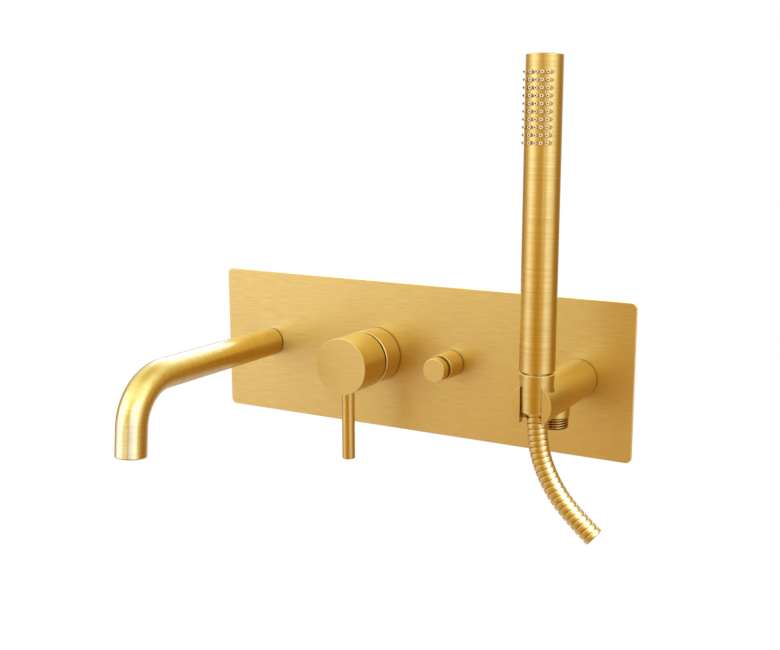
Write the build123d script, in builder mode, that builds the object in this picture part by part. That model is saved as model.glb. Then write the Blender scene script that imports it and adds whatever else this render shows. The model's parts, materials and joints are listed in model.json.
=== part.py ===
from build123d import *
import math
import os

os.makedirs("parts", exist_ok=True)

# A wall mounted bath faucet on one face plate, in millimetres. X runs along the plate, +Y into the wall
# and +Z up. The origin is the centre of the plate's back face, on the surface of the wall.

# Clearances
fit_gap = 0.05  # radial, between pieces that are screwed or pushed together
running_gap = 0.08  # radial, between a turning or sliding piece and its bore
face_gap = 0.05  # between flat faces that slide on each other or close on each other
air_gap = 0.3  # between neighbours that move past each other
plate_hole_gap = 0.6  # radial, round each fitting that passes through the plate

# Face plate, and the stations along it
plate_width = 366.0
plate_height = 120.0
plate_thickness = 2.0
plate_corner_radius = 4.5
plate_edge_break = 0.4
foot_break = 0.4  # on each fitting's outer edge where it stands on the plate
spout_inset = 44.5  # from the plate's end to the spout's axis
mixer_x = -34.0
diverter_x = 34.5
arm_inset = 43.0  # from the plate's end to the arm's axis

# Half inch pipe thread, as plain walls
thread_major_radius = 10.478
thread_minor_radius = 9.316
thread_depth = 14.0

# Spout
spout_radius = 11.6
spout_wall = 1.6
spout_straight = 135.9
spout_bend_radius = 36.8
spout_bend_angle = 84.2
spout_leg = 22.0
spout_mouth_land = 0.3  # flat that the mouth's rounding leaves of the wall
aerator_wall = 1.1
aerator_height = 8.0
aerator_recess = 0.4
aerator_hole_radius = 0.9
aerator_ring_pitch = 2.6
aerator_rings = 3

# Push-on connectors of spout and arm
connector_neck = 22.0  # in front of the wall
connector_collar_radius = 12.6
connector_collar = 1.6
connector_bore_radius = 6.5
ring_section_radius = 0.55
ring_groove_depth = 1.2
ring_groove_width = 1.6
ring_stations = (-7.0, -11.0)
grub_radius = 2.0
grub_station = -17.0
grub_groove_depth = 1.2
grub_groove_width = 4.6
grub_sink = 0.3

# Mixer trim and handle
sleeve_radius = 22.25
sleeve_wall = 1.6
sleeve_length = 21.25
sleeve_edge_break = 0.6
handle_gap = 3.0
cap_length = 30.65
cap_skirt = 1.5
cap_hollow = 8.75
cap_hub_radius = 8.5
cap_hub_setback = 1.25
cap_edge_round = 0.3
lever_radius = 5.0
lever_setback = 10.9  # from the cap's front face to the lever's axis
lever_tip_z = -76.0
lever_seat_depth = 2.6
lever_end_round = 0.6
lever_stud_radius = 3.0
lever_stud = 7.5
handle_grub = 6.6
handle_grub_key_radius = 1.4

# Mixing cartridge, stacked from its seat towards the room
chamber_seat = 18.0
neck_front = -17.0
cartridge_radius = 17.5
cartridge_wall = 2.0
base_thickness = 6.0
port_offset = 6.8
port_radius = 2.6
port_seal_wall = 1.5
port_seal_depth = 1.2
fixed_disc_radius = 15.2
fixed_disc = 3.0
moving_disc_radius = 10.8
moving_disc = 2.95
mixing_pocket_depth = 1.8
mixing_pocket_width = 17.0
mixing_pocket_height = 6.8
carrier = 6.0
ball_radius = 3.0
ball_depth = 1.5  # ball centre below the carrier's front
ball_play = 0.25
ball_socket_depth = 5.0
lever_arm = 10.5  # pivot to ball centre
lever_arm_radius = 1.8
insert_radius = 13.9
insert_length = 11.5
insert_setback = 0.5
insert_slot_play = 0.2
insert_slot_high = 8.0
lever_tilt = 25.0  # degrees, from shut to full flow
pivot_radius = 2.0
pivot_boss_radius = 4.4
pivot_length = 24.0
stem_width = 7.0
stem_height = 8.0
stem_end_room = 6.4  # from the cap's front face to the stem's end
lip_radius = 11.5
lip_thickness = 1.7
nut_opening_radius = 12.0
nut_hex_radius = 19.5
nut_hex = 3.0

# Diverter
diverter_sleeve_radius = 10.4
diverter_sleeve_wall = 1.5
diverter_sleeve_length = 20.9
button_radius = 9.3
button_head = 6.9
button_stop_gap = 0.2  # between the head and the sleeve at full push
button_neck_radius = 6.0
button_guide = 3.5
button_guide_sink = 1.9  # guide's front below the sleeve's front
button_edge_round = 0.6
button_travel = 3.0
bonnet_thread_radius = 11.0
bonnet_thread = 11.5
bonnet_collar_radius = 13.2
bonnet_front = -14.0
spring_bore_radius = 6.0
spring_seat = 0.0
spring_radius = 4.4
spring_wire_radius = 0.55
spring_turns = 5
stem_radius = 2.5
stem_socket = 10.0
stem_guide_end = 9.0
stem_seal_radius = 3.55
stem_seal_section = 0.95
stem_seal_station = 12.0
stem_seal_gland_radius = 4.6
washer_radius = 7.6
washer_thickness = 1.95
spool_collar = 2.0
spool_collar_radius = 7.0
spool_tail = 1.5

# In-wall body
body_front = 4.0
mixing_radius = 23.0
mixing_floor = 7.0  # from the mixed water's way to the block's back
inlet_spread = 76.0
inlet_lead = 7.0  # from the inlets' depth to the mixed water's way
inlet_drop = 40.0
inlet_arm_radius = 11.0
inlet_socket_radius = 13.5
waterway_radius = 6.0
mixed_rise = 22.0
mixed_pipe_radius = 9.5
mixed_bore_radius = 5.0
diverter_block_radius = 15.0
diverter_floor = 4.0
diverter_bore_radius = 9.0
diverter_bore_tail = 6.0  # past the spout pipe's axis
seat_opening_radius = 5.5
seat_thickness = 3.0
seat_lead = 8.0  # from the mixed water's way to each seat
shower_lead = 9.0  # from the shower pipe's axis to the first seat
spout_depth = 58.0
pipe_radius = 8.0
pipe_wall = 1.2
pipe_clearance = 1.5  # between the spout pipe and the body it passes
pipe_boss_radius = 11.5
pipe_boss = 6.0
pipe_socket = 6.0
pipe_end_room = 0.3

# In-wall elbows and their ears
elbow_radius = 14.0
elbow_floor = 12.0  # from the spout pipe's axis to the back of both elbows
ear_thickness = 6.0
ear_width = 24.0
ear_spacing = 56.0
ear_hole_radius = 3.25

# Shower arm with its fork, and the outlet below it
arm_radius = 14.9
arm_length = 91.0
arm_edge_round = 0.3
arm_socket = 24.0
arm_waterway_radius = 7.0
fork_slot_half = 8.0
fork_bore_radius = 9.4  # below the hose nut
wand_setback = 10.13  # from the arm's front face to the hand shower's axis
nipple_y = -49.5
nipple_boss_radius = 11.2
nipple_boss_z = -16.6
nipple_tip_z = -25.0
nipple_shank_radius = 8.4
nipple_shank = 7.0
nipple_bore_radius = 6.2
nipple_end_break = 0.7

# Hand shower
wand_radius = 12.3
wand_wall = 1.2
wand_low = 22.4
wand_high = 230.7
wand_edge_break = 0.5
wand_cap_depth = 7.0
spray_rows = 10
spray_row_pitch = 4.94
spray_top_row = 219.0
spray_columns = 5
spray_column_pitch = 4.14
nozzle_radius = 1.15
nozzle_hole_radius = 0.5
nozzle_play = 0.15
nozzle_stand = 1.9  # of the middle column, and all columns end in one plane
spray_mat_thickness = 1.1
spray_mat_margin = 4.5
spray_mat_back = 2.0  # from the wand's axis to the mat's long edges
coupling_flange = 10.0
coupling_thread = 11.4
coupling_bore_radius = 5.0

# Hose nut, washer and ferrule
nut_high = 21.2
nut_shoulder = 17.0
nut_low = -6.1
nut_collar_radius = 12.0
nut_edge_break = 0.5
nut_shoulder_radius = 11.9
nut_taper = 0.7  # of its radius, from the shoulder to the foot
nut_foot_break = 0.8
nut_floor = 7.0
nut_bore_radius = 8.0
washer_ring_thickness = 1.8
washer_ring_bore_radius = 5.0
ferrule_flange = 1.8
ferrule_low = -3.0
ferrule_bore_radius = 3.4
ferrule_barb_radius = 4.4
ferrule_barb_low = -13.0

# Hose. Its route is a list of points in the plane of the hand shower, from its axis, chosen by eye.
hose_radius = 7.0
hose_groove_depth = 1.0
hose_bore_radius = 5.2
hose_ribs = 24
hose_rib_flank = 0.14  # share of a rib's pitch
hose_rib_groove = 0.06
liner_wall = 1.4
hose_route = [(0.0, -4.6), (1.2, -29.0), (10.1, -52.6), (25.4, -73.2), (44.7, -88.8)]
hose_straight_share = 0.1  # of each run, between its bends

# Directions
FRONT, INTO = (0, -1, 0), (0, 1, 0)
LEFT, RIGHT = (-1, 0, 0), (1, 0, 0)
DOWN, UP = (0, 0, -1), (0, 0, 1)


def rod(start, direction, length, radius, mode=Mode.ADD):
    """Add or cut a round bar from a start point along a direction."""
    with BuildSketch(Plane(origin=start, z_dir=direction)) as profile:
        Circle(radius)
    extrude(profile.sketch, amount=length, mode=mode)


def turned(x, outline, mode=Mode.ADD):
    """Turn a closed outline of (radius, y) points about the line at x that runs into the wall."""
    with BuildSketch(Plane((x, 0, 0))) as profile:
        with BuildLine():
            Polyline(*outline, close=True)
        make_face()
    revolve(profile.sketch, axis=Axis((x, 0, 0), INTO), mode=mode)


def turned_up(x, y, outline, mode=Mode.ADD):
    """Turn a closed outline of (radius, z) points about the upright line at x and y."""
    with BuildSketch(Plane(origin=(x, y, 0), x_dir=RIGHT, z_dir=FRONT)) as profile:
        with BuildLine():
            Polyline(*outline, close=True)
        make_face()
    revolve(profile.sketch, axis=Axis((x, y, 0), UP), mode=mode)


def ring(x, y, mean_radius, section_radius, z=0.0):
    """Add a sealing ring of round section whose axis runs into the wall."""
    with BuildSketch(Plane((x, y, z))) as profile:
        with Locations((mean_radius, 0)):
            Circle(section_radius)
    revolve(profile.sketch, axis=Axis((x, y, z), INTO))


def facing(x, y, z=0.0):
    """The plane at depth y that faces the room, with x along the plate and y up."""
    return Plane(origin=(x, y, z), x_dir=RIGHT, z_dir=FRONT)


def outer_edge(part, y):
    """The outermost circular edge of a round piece at depth y."""
    edges = part.edges().filter_by(GeomType.CIRCLE).filter_by_position(Axis.Y, y - 0.01, y + 0.01)
    return edges.sort_by(SortBy.RADIUS)[-1]


def save(piece, name):
    """Label a finished piece and write it."""
    piece.part.label = name
    export_step(piece.part, f"parts/{name}.step")


# Values that follow from the sizes above
plate_front = -plate_thickness
spout_x = spout_inset - plate_width / 2
arm_x = plate_width / 2 - arm_inset
connector_radius = spout_radius - spout_wall - fit_gap
sleeve_front = plate_front - sleeve_length
sleeve_bore_radius = sleeve_radius - sleeve_wall
neck_radius = sleeve_bore_radius - air_gap
cap_rear = sleeve_front - handle_gap
cap_front = cap_rear - cap_length
lever_y = cap_front + lever_setback
stem_end = cap_front + stem_end_room
base_front = chamber_seat - base_thickness
fixed_disc_front = base_front - fixed_disc
moving_disc_rear = fixed_disc_front - face_gap
moving_disc_front = moving_disc_rear - moving_disc
carrier_front = moving_disc_front - carrier
ball_y = carrier_front + ball_depth
pivot_y = ball_y - lever_arm
insert_rear = carrier_front - insert_setback
insert_front = insert_rear - insert_length
insert_slot_low = -lever_arm * math.sin(math.radians(lever_tilt)) - ball_radius - air_gap
housing_front = insert_front - air_gap - lip_thickness
cavity_radius = cartridge_radius - cartridge_wall
nut_front = neck_front - nut_hex
diverter_sleeve_front = plate_front - diverter_sleeve_length
diverter_sleeve_bore = diverter_sleeve_radius - diverter_sleeve_wall
button_rear = diverter_sleeve_front - button_travel - button_stop_gap
button_front = button_rear - button_head
guide_front = diverter_sleeve_front + button_guide_sink
guide_rear = guide_front + button_guide
bonnet_radius = diverter_sleeve_bore - fit_gap
mixed_depth = spout_depth - pipe_radius - pipe_clearance - mixed_pipe_radius
mixing_rear = mixed_depth + mixing_floor
inlet_depth = mixed_depth - inlet_lead
first_seat = mixed_depth - seat_lead
second_seat = mixed_depth + seat_lead
shower_depth = first_seat - shower_lead
diverter_bore_end = spout_depth + diverter_bore_tail
diverter_rear = diverter_bore_end + diverter_floor
elbow_rear = spout_depth + elbow_floor
first_washer_rear = first_seat + face_gap + washer_thickness
second_washer_rear = second_seat - face_gap - button_travel
spool_end = second_washer_rear + spool_tail
arm_front = plate_front - arm_length
wand_y = arm_front + wand_setback
arm_socket_radius = connector_radius + fit_gap
spray_middle = spray_top_row - spray_row_pitch * (spray_rows - 1) / 2
wand_bore_radius = wand_radius - wand_wall
columns = [spray_column_pitch * (i - (spray_columns - 1) / 2) for i in range(spray_columns)]
nozzle_tip = wand_radius + nozzle_stand
nut_low_radius = nut_shoulder_radius - nut_taper
nut_slope = nut_taper / (nut_shoulder - nut_low - nut_foot_break)
hot_x = mixer_x - inlet_spread / 2
cold_x = mixer_x + inlet_spread / 2


# Face plate
with BuildPart() as face_plate:
    with BuildSketch(facing(0, 0)):
        RectangleRounded(plate_width, plate_height, plate_corner_radius)
        with Locations((spout_x, 0), (arm_x, 0)):
            Circle(connector_radius + plate_hole_gap, mode=Mode.SUBTRACT)
        with Locations((mixer_x, 0)):
            Circle(neck_radius + plate_hole_gap, mode=Mode.SUBTRACT)
        with Locations((diverter_x, 0)):
            Circle(bonnet_radius + plate_hole_gap, mode=Mode.SUBTRACT)
    extrude(amount=plate_thickness)
    chamfer(face_plate.faces().sort_by(Axis.Y)[0].outer_wire().edges(), plate_edge_break)
save(face_plate, "face_plate")


# In-wall valve body: mixing chamber, inlets, diverter chamber and the way between them
def inlet(x, side):
    """Add one inlet arm, and the post for its threaded socket, on one side of the mixer."""
    reach = abs(x - mixer_x)
    rod((mixer_x, inlet_depth, 0), side, reach, inlet_arm_radius)
    rod((x, inlet_depth, inlet_arm_radius), DOWN, inlet_arm_radius + inlet_drop, inlet_socket_radius)


def inlet_waterway(x, side):
    """Cut one inlet's socket and the way from it to the cartridge seat."""
    port_x = mixer_x + side[0] * port_offset
    rod((port_x, chamber_seat, 0), INTO, inlet_depth - chamber_seat, port_radius, Mode.SUBTRACT)
    rod((port_x, inlet_depth, 0), side, abs(x - port_x), waterway_radius, Mode.SUBTRACT)
    rod((x, inlet_depth, 0), DOWN, inlet_drop, waterway_radius, Mode.SUBTRACT)
    rod((x, inlet_depth, -inlet_drop), UP, thread_depth, thread_minor_radius, Mode.SUBTRACT)


def pipe_port(x, depth, side, reach):
    """Cut a pipe's socket into a boss, and the way from the boss's far end to the axis at x."""
    mouth = (x + side[0] * reach, depth, 0)
    inward = (-side[0], 0, 0)
    rod(mouth, inward, pipe_socket, pipe_radius + fit_gap, Mode.SUBTRACT)
    rod(mouth, inward, reach, pipe_radius - pipe_wall, Mode.SUBTRACT)


diverter_reach = diverter_block_radius + pipe_boss
with BuildPart() as valve_body:
    rod((mixer_x, mixing_rear, 0), FRONT, mixing_rear - body_front, mixing_radius)
    rod((mixer_x, body_front, 0), FRONT, body_front - neck_front, neck_radius)
    inlet(hot_x, LEFT)
    inlet(cold_x, RIGHT)
    rod((mixer_x, mixed_depth, mixed_rise), RIGHT, diverter_x - mixer_x, mixed_pipe_radius)
    for x in (mixer_x, diverter_x):
        rod((x, mixed_depth, 0), UP, mixed_rise + mixed_pipe_radius, mixed_pipe_radius)
    rod((diverter_x, diverter_rear, 0), FRONT, diverter_rear - body_front, diverter_block_radius)
    rod((diverter_x, shower_depth, 0), RIGHT, diverter_reach, pipe_boss_radius)
    rod((diverter_x, spout_depth, 0), LEFT, diverter_reach, pipe_boss_radius)
    chamber_radius = cartridge_radius + fit_gap
    rod((mixer_x, chamber_seat, 0), FRONT, chamber_seat - neck_front, chamber_radius, Mode.SUBTRACT)
    inlet_waterway(hot_x, LEFT)
    inlet_waterway(cold_x, RIGHT)
    rod((mixer_x, chamber_seat, port_offset), INTO, mixed_depth - chamber_seat, port_radius, Mode.SUBTRACT)
    rod((mixer_x, mixed_depth, port_offset), UP, mixed_rise - port_offset, mixed_bore_radius, Mode.SUBTRACT)
    rod((mixer_x, mixed_depth, mixed_rise), RIGHT, diverter_x - mixer_x, mixed_bore_radius, Mode.SUBTRACT)
    rod((diverter_x, mixed_depth, mixed_rise), DOWN, mixed_rise, mixed_bore_radius, Mode.SUBTRACT)
    turned(
        diverter_x,
        [
            (0, body_front),
            (bonnet_thread_radius, body_front),
            (bonnet_thread_radius, body_front + bonnet_thread + air_gap),
            (diverter_bore_radius, body_front + bonnet_thread + air_gap),
            (diverter_bore_radius, first_seat - seat_thickness),
            (seat_opening_radius, first_seat - seat_thickness),
            (seat_opening_radius, first_seat),
            (diverter_bore_radius, first_seat),
            (diverter_bore_radius, second_seat),
            (seat_opening_radius, second_seat),
            (seat_opening_radius, second_seat + seat_thickness),
            (diverter_bore_radius, second_seat + seat_thickness),
            (diverter_bore_radius, diverter_bore_end),
            (0, diverter_bore_end),
        ],
        Mode.SUBTRACT,
    )
    pipe_port(diverter_x, shower_depth, RIGHT, diverter_reach)
    pipe_port(diverter_x, spout_depth, LEFT, diverter_reach)
    sleeve_ring_y = plate_front - sleeve_length / 3
    turned(
        mixer_x,
        [
            (neck_radius - ring_groove_depth, sleeve_ring_y - ring_groove_width / 2),
            (neck_radius + air_gap, sleeve_ring_y - ring_groove_width / 2),
            (neck_radius + air_gap, sleeve_ring_y + ring_groove_width / 2),
            (neck_radius - ring_groove_depth, sleeve_ring_y + ring_groove_width / 2),
        ],
        Mode.SUBTRACT,
    )
save(valve_body, "valve_body")

with BuildPart() as sleeve_o_ring:
    ring(mixer_x, sleeve_ring_y, neck_radius - ring_groove_depth / 2, ring_section_radius)
save(sleeve_o_ring, "sleeve_o_ring")


# In-wall elbows of spout and arm, with the pipes that feed them
elbow_reach = elbow_radius + pipe_boss


def elbow(x, depth, side):
    """Add an elbow whose thread faces the room, with a pipe boss on one side and two ears at the back."""
    rod((x, elbow_rear, 0), FRONT, elbow_rear - body_front, elbow_radius)
    rod((x, depth, 0), side, elbow_reach, pipe_boss_radius)
    with BuildSketch(facing(x, elbow_rear)) as ears:
        SlotCenterToCenter(ear_spacing, ear_width, rotation=90)
        with GridLocations(0, ear_spacing, 1, 2):
            Circle(ear_hole_radius, mode=Mode.SUBTRACT)
    extrude(ears.sketch, amount=ear_thickness)
    rod((x, body_front, 0), INTO, thread_depth, thread_minor_radius, Mode.SUBTRACT)
    rod((x, body_front, 0), INTO, depth - body_front, pipe_radius - pipe_wall, Mode.SUBTRACT)
    pipe_port(x, depth, side, elbow_reach)


def pipe(start_x, end_x, depth):
    """Add a tube along X between the sockets of two bosses."""
    low = start_x - pipe_socket + pipe_end_room
    length = end_x + pipe_socket - pipe_end_room - low
    rod((low, depth, 0), RIGHT, length, pipe_radius)
    rod((low, depth, 0), RIGHT, length, pipe_radius - pipe_wall, Mode.SUBTRACT)


with BuildPart() as spout_elbow:
    elbow(spout_x, spout_depth, RIGHT)
save(spout_elbow, "spout_elbow")

with BuildPart() as shower_elbow:
    elbow(arm_x, shower_depth, LEFT)
save(shower_elbow, "shower_elbow")

with BuildPart() as spout_pipe:
    pipe(spout_x + elbow_reach, diverter_x - diverter_reach, spout_depth)
save(spout_pipe, "spout_pipe")

with BuildPart() as shower_pipe:
    pipe(diverter_x + diverter_reach, arm_x - elbow_reach, shower_depth)
save(shower_pipe, "shower_pipe")


# Connectors that spout and arm slide on, with their rings and grub screws
def connector(x):
    """Add a connector screwed into an elbow, with two ring grooves and a groove for the grub screw."""
    collar_front = body_front - connector_collar
    thread_end = body_front + thread_depth - air_gap
    turned(
        x,
        [
            (connector_bore_radius, -connector_neck),
            (connector_radius, -connector_neck),
            (connector_radius, collar_front),
            (connector_collar_radius, collar_front),
            (connector_collar_radius, body_front),
            (thread_minor_radius - fit_gap, body_front),
            (thread_minor_radius - fit_gap, thread_end),
            (connector_bore_radius, thread_end),
        ],
    )
    for y in ring_stations:
        groove(x, y, ring_groove_depth, ring_groove_width)
    groove(x, grub_station, grub_groove_depth, grub_groove_width)


def groove(x, y, depth, width):
    """Cut a square groove round a connector's neck."""
    low, high = connector_radius - depth, connector_radius + depth
    front, rear = y - width / 2, y + width / 2
    turned(x, [(low, front), (high, front), (high, rear), (low, rear)], Mode.SUBTRACT)


def connector_rings(x):
    """Add the two sealing rings of a connector."""
    for y in ring_stations:
        ring(x, y, connector_radius - ring_groove_depth / 2, ring_section_radius)


def radial_grub(x, outer_radius):
    """Add the grub screw that comes up from below into a connector's groove."""
    low = -outer_radius + grub_sink
    high = -connector_radius + grub_groove_depth - face_gap
    rod((x, grub_station, low), UP, high - low, grub_radius - fit_gap)
    rod((x, grub_station, low), UP, (high - low) / 2, grub_radius / 2, Mode.SUBTRACT)


with BuildPart() as spout_connector:
    connector(spout_x)
save(spout_connector, "spout_connector")

with BuildPart() as spout_o_rings:
    connector_rings(spout_x)
save(spout_o_rings, "spout_o_rings")

with BuildPart() as spout_grub_screw:
    radial_grub(spout_x, spout_radius)
save(spout_grub_screw, "spout_grub_screw")

with BuildPart() as arm_connector:
    connector(arm_x)
save(arm_connector, "arm_connector")

with BuildPart() as arm_o_rings:
    connector_rings(arm_x)
save(arm_o_rings, "arm_o_rings")

with BuildPart() as arm_grub_screw:
    radial_grub(arm_x, arm_radius)
save(arm_grub_screw, "arm_grub_screw")


# Spout: a straight run, one bend and a short leg, with the aerator in its mouth
with BuildLine(Plane(origin=(spout_x, 0, 0), x_dir=FRONT, z_dir=LEFT)) as spout_path:
    spout_run = Line((plate_thickness, 0), (plate_thickness + spout_straight, 0))
    spout_bend = JernArc(spout_run @ 1, spout_run % 1, spout_bend_radius, -spout_bend_angle)
    Line(spout_bend @ 1, spout_bend @ 1 + (spout_bend % 1) * spout_leg)
mouth = spout_path.line @ 1
mouth_direction = spout_path.line % 1

with BuildPart() as spout_tube:
    with BuildSketch(facing(spout_x, plate_front)):
        Circle(spout_radius)
        Circle(spout_radius - spout_wall, mode=Mode.SUBTRACT)
    sweep(path=spout_path.line)
    mouth_edges = spout_tube.faces().sort_by_distance(mouth)[0].edges()
    fillet(mouth_edges.sort_by(SortBy.RADIUS)[-1], spout_wall - spout_mouth_land)
    chamfer(outer_edge(spout_tube, plate_front), foot_break)
    rod((spout_x, grub_station, 0), DOWN, spout_radius + air_gap, grub_radius, Mode.SUBTRACT)
save(spout_tube, "spout_tube")

aerator_face = mouth - mouth_direction * aerator_recess
aerator_radius = spout_radius - spout_wall - fit_gap
with BuildPart() as aerator_housing:
    rod(aerator_face, -mouth_direction, aerator_height, aerator_radius)
    rod(aerator_face, -mouth_direction, aerator_height, aerator_radius - aerator_wall, Mode.SUBTRACT)
save(aerator_housing, "aerator_housing")

with BuildPart() as aerator_insert:
    insert_face = aerator_face - mouth_direction * aerator_recess
    with BuildSketch(Plane(origin=insert_face, x_dir=RIGHT, z_dir=-mouth_direction)):
        Circle(aerator_radius - aerator_wall - fit_gap)
        Circle(aerator_hole_radius, mode=Mode.SUBTRACT)
        for i in range(1, aerator_rings):
            with PolarLocations(i * aerator_ring_pitch, 6 * i):
                Circle(aerator_hole_radius, mode=Mode.SUBTRACT)
    extrude(amount=aerator_height - 2 * aerator_recess)
save(aerator_insert, "aerator_insert")


# Mixer trim
with BuildPart() as mixer_sleeve:
    turned(
        mixer_x,
        [
            (sleeve_bore_radius, plate_front),
            (sleeve_radius - foot_break, plate_front),
            (sleeve_radius, plate_front - foot_break),
            (sleeve_radius, sleeve_front + sleeve_edge_break),
            (sleeve_radius - sleeve_edge_break, sleeve_front),
            (sleeve_bore_radius, sleeve_front),
        ],
    )
save(mixer_sleeve, "mixer_sleeve")


# Mixing cartridge, from its seat outwards
port_places = [(-port_offset, 0), (port_offset, 0), (0, port_offset)]

with BuildPart() as cartridge_base:
    with BuildSketch(facing(mixer_x, chamber_seat)):
        Circle(cartridge_radius)
        with Locations(*port_places):
            Circle(port_radius, mode=Mode.SUBTRACT)
    extrude(amount=base_thickness)
    with BuildSketch(facing(mixer_x, chamber_seat)):
        with Locations(*port_places):
            Circle(port_radius + port_seal_wall + fit_gap)
    extrude(amount=port_seal_depth, mode=Mode.SUBTRACT)
save(cartridge_base, "cartridge_base")

with BuildPart() as cartridge_seals:
    with BuildSketch(facing(mixer_x, chamber_seat - face_gap)):
        with Locations(*port_places):
            Circle(port_radius + port_seal_wall)
            Circle(port_radius + fit_gap, mode=Mode.SUBTRACT)
    extrude(amount=port_seal_depth - 2 * face_gap)
save(cartridge_seals, "cartridge_seals")

with BuildPart() as cartridge_housing:
    turned(
        mixer_x,
        [
            (cavity_radius, base_front),
            (cartridge_radius, base_front),
            (cartridge_radius, housing_front),
            (lip_radius, housing_front),
            (lip_radius, housing_front + lip_thickness),
            (insert_radius + running_gap, housing_front + lip_thickness),
            (insert_radius + running_gap, insert_rear),
            (cavity_radius, insert_rear),
        ],
    )
save(cartridge_housing, "cartridge_housing")

with BuildPart() as fixed_ceramic:
    with BuildSketch(facing(mixer_x, base_front)):
        Circle(fixed_disc_radius)
        with Locations(*port_places):
            Circle(port_radius, mode=Mode.SUBTRACT)
    extrude(amount=fixed_disc)
save(fixed_ceramic, "fixed_disc")

with BuildPart() as moving_ceramic:
    rod((mixer_x, moving_disc_rear, 0), FRONT, moving_disc, moving_disc_radius)
    with BuildSketch(facing(mixer_x, moving_disc_rear)):
        with Locations((0, port_offset - face_gap)):
            RectangleRounded(mixing_pocket_width - 2 * port_radius, mixing_pocket_height, port_radius)
    extrude(amount=mixing_pocket_depth, mode=Mode.SUBTRACT)
save(moving_ceramic, "moving_disc")

with BuildPart() as disc_carrier:
    rod((mixer_x, moving_disc_front, 0), FRONT, carrier, moving_disc_radius)
    with BuildSketch(facing(mixer_x, carrier_front)):
        Rectangle(2 * (ball_radius + ball_play), 2 * (ball_radius + ball_play))
    extrude(amount=-ball_socket_depth, mode=Mode.SUBTRACT)
save(disc_carrier, "disc_carrier")

with BuildPart() as swivel_insert:
    rod((mixer_x, insert_rear, 0), FRONT, insert_length, insert_radius)
    with BuildSketch(facing(mixer_x, insert_rear)):
        with Locations((0, (insert_slot_low + insert_slot_high) / 2)):
            Rectangle(stem_width + 2 * insert_slot_play, insert_slot_high - insert_slot_low)
    extrude(amount=insert_length, mode=Mode.SUBTRACT)
    pivot_start = (mixer_x - insert_radius, pivot_y, 0)
    rod(pivot_start, RIGHT, 2 * insert_radius, pivot_radius + fit_gap, Mode.SUBTRACT)
save(swivel_insert, "swivel_insert")

with BuildPart() as pivot_pin:
    rod((mixer_x - pivot_length / 2, pivot_y, 0), RIGHT, pivot_length, pivot_radius)
save(pivot_pin, "pivot_pin")

with BuildPart() as lever_stem:
    rod((mixer_x - stem_width / 2, pivot_y, 0), RIGHT, stem_width, pivot_boss_radius)
    with BuildSketch(facing(mixer_x, pivot_y)):
        Rectangle(stem_width, stem_height)
    extrude(amount=pivot_y - stem_end)
    rod((mixer_x, pivot_y, 0), INTO, lever_arm, lever_arm_radius)
    with Locations((mixer_x, ball_y, 0)):
        Sphere(ball_radius)
    rod((mixer_x - stem_width, pivot_y, 0), RIGHT, 2 * stem_width, pivot_radius + running_gap, Mode.SUBTRACT)
save(lever_stem, "lever_stem")

with BuildPart() as retaining_nut:
    rod((mixer_x, housing_front, 0), FRONT, housing_front - neck_front, cartridge_radius)
    with BuildSketch(facing(mixer_x, neck_front)):
        RegularPolygon(nut_hex_radius, 6)
    extrude(amount=nut_hex)
    rod((mixer_x, housing_front, 0), FRONT, housing_front - nut_front, nut_opening_radius, Mode.SUBTRACT)
save(retaining_nut, "retaining_nut")


# Handle
with BuildPart() as handle_cap:
    turned(
        mixer_x,
        [
            (0, cap_front),
            (sleeve_radius, cap_front),
            (sleeve_radius, cap_rear),
            (sleeve_radius - cap_skirt, cap_rear),
            (sleeve_radius - cap_skirt, cap_rear - cap_hollow),
            (cap_hub_radius, cap_rear - cap_hollow),
            (cap_hub_radius, cap_rear - cap_hub_setback),
            (0, cap_rear - cap_hub_setback),
        ],
    )
    fillet(outer_edge(handle_cap, cap_front), cap_edge_round)
    with BuildSketch(facing(mixer_x, cap_rear - cap_hub_setback)):
        Rectangle(stem_width + 2 * fit_gap, stem_height + 2 * fit_gap)
    extrude(amount=cap_rear - cap_hub_setback - stem_end + face_gap, mode=Mode.SUBTRACT)
    lever_seat_z = -sleeve_radius + lever_seat_depth
    rod((mixer_x, lever_y, lever_seat_z), DOWN, sleeve_radius, lever_radius + fit_gap, Mode.SUBTRACT)
    rod((mixer_x, lever_y, 0), DOWN, sleeve_radius, lever_stud_radius, Mode.SUBTRACT)
save(handle_cap, "handle_cap")

with BuildPart() as lever_pin:
    body_high = lever_seat_z - face_gap
    rod((mixer_x, lever_y, lever_tip_z), UP, body_high - lever_tip_z, lever_radius)
    fillet(lever_pin.edges().sort_by(Axis.Z)[0], lever_end_round)
    rod((mixer_x, lever_y, body_high), UP, lever_stud, lever_stud_radius - fit_gap)
save(lever_pin, "lever_pin")

with BuildPart() as handle_grub_screw:
    grub_high = -stem_height / 2 - face_gap
    rod((mixer_x, lever_y, grub_high), DOWN, handle_grub, lever_stud_radius - fit_gap)
    with BuildSketch(Plane.XY.offset(grub_high - handle_grub)):
        with Locations((mixer_x, lever_y)):
            RegularPolygon(handle_grub_key_radius, 6)
    extrude(amount=handle_grub / 2, mode=Mode.SUBTRACT)
save(handle_grub_screw, "handle_grub_screw")


# Diverter
with BuildPart() as diverter_bonnet:
    collar_front = body_front - connector_collar
    thread_end = body_front + bonnet_thread
    turned(
        diverter_x,
        [
            (spring_bore_radius, bonnet_front),
            (bonnet_radius, bonnet_front),
            (bonnet_radius, collar_front),
            (bonnet_collar_radius, collar_front),
            (bonnet_collar_radius, body_front),
            (bonnet_thread_radius - fit_gap, body_front),
            (bonnet_thread_radius - fit_gap, thread_end),
            (stem_seal_gland_radius, thread_end),
            (stem_seal_gland_radius, stem_guide_end),
            (stem_radius + running_gap, stem_guide_end),
            (stem_radius + running_gap, spring_seat),
            (spring_bore_radius, spring_seat),
        ],
    )
save(diverter_bonnet, "diverter_bonnet")

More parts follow.
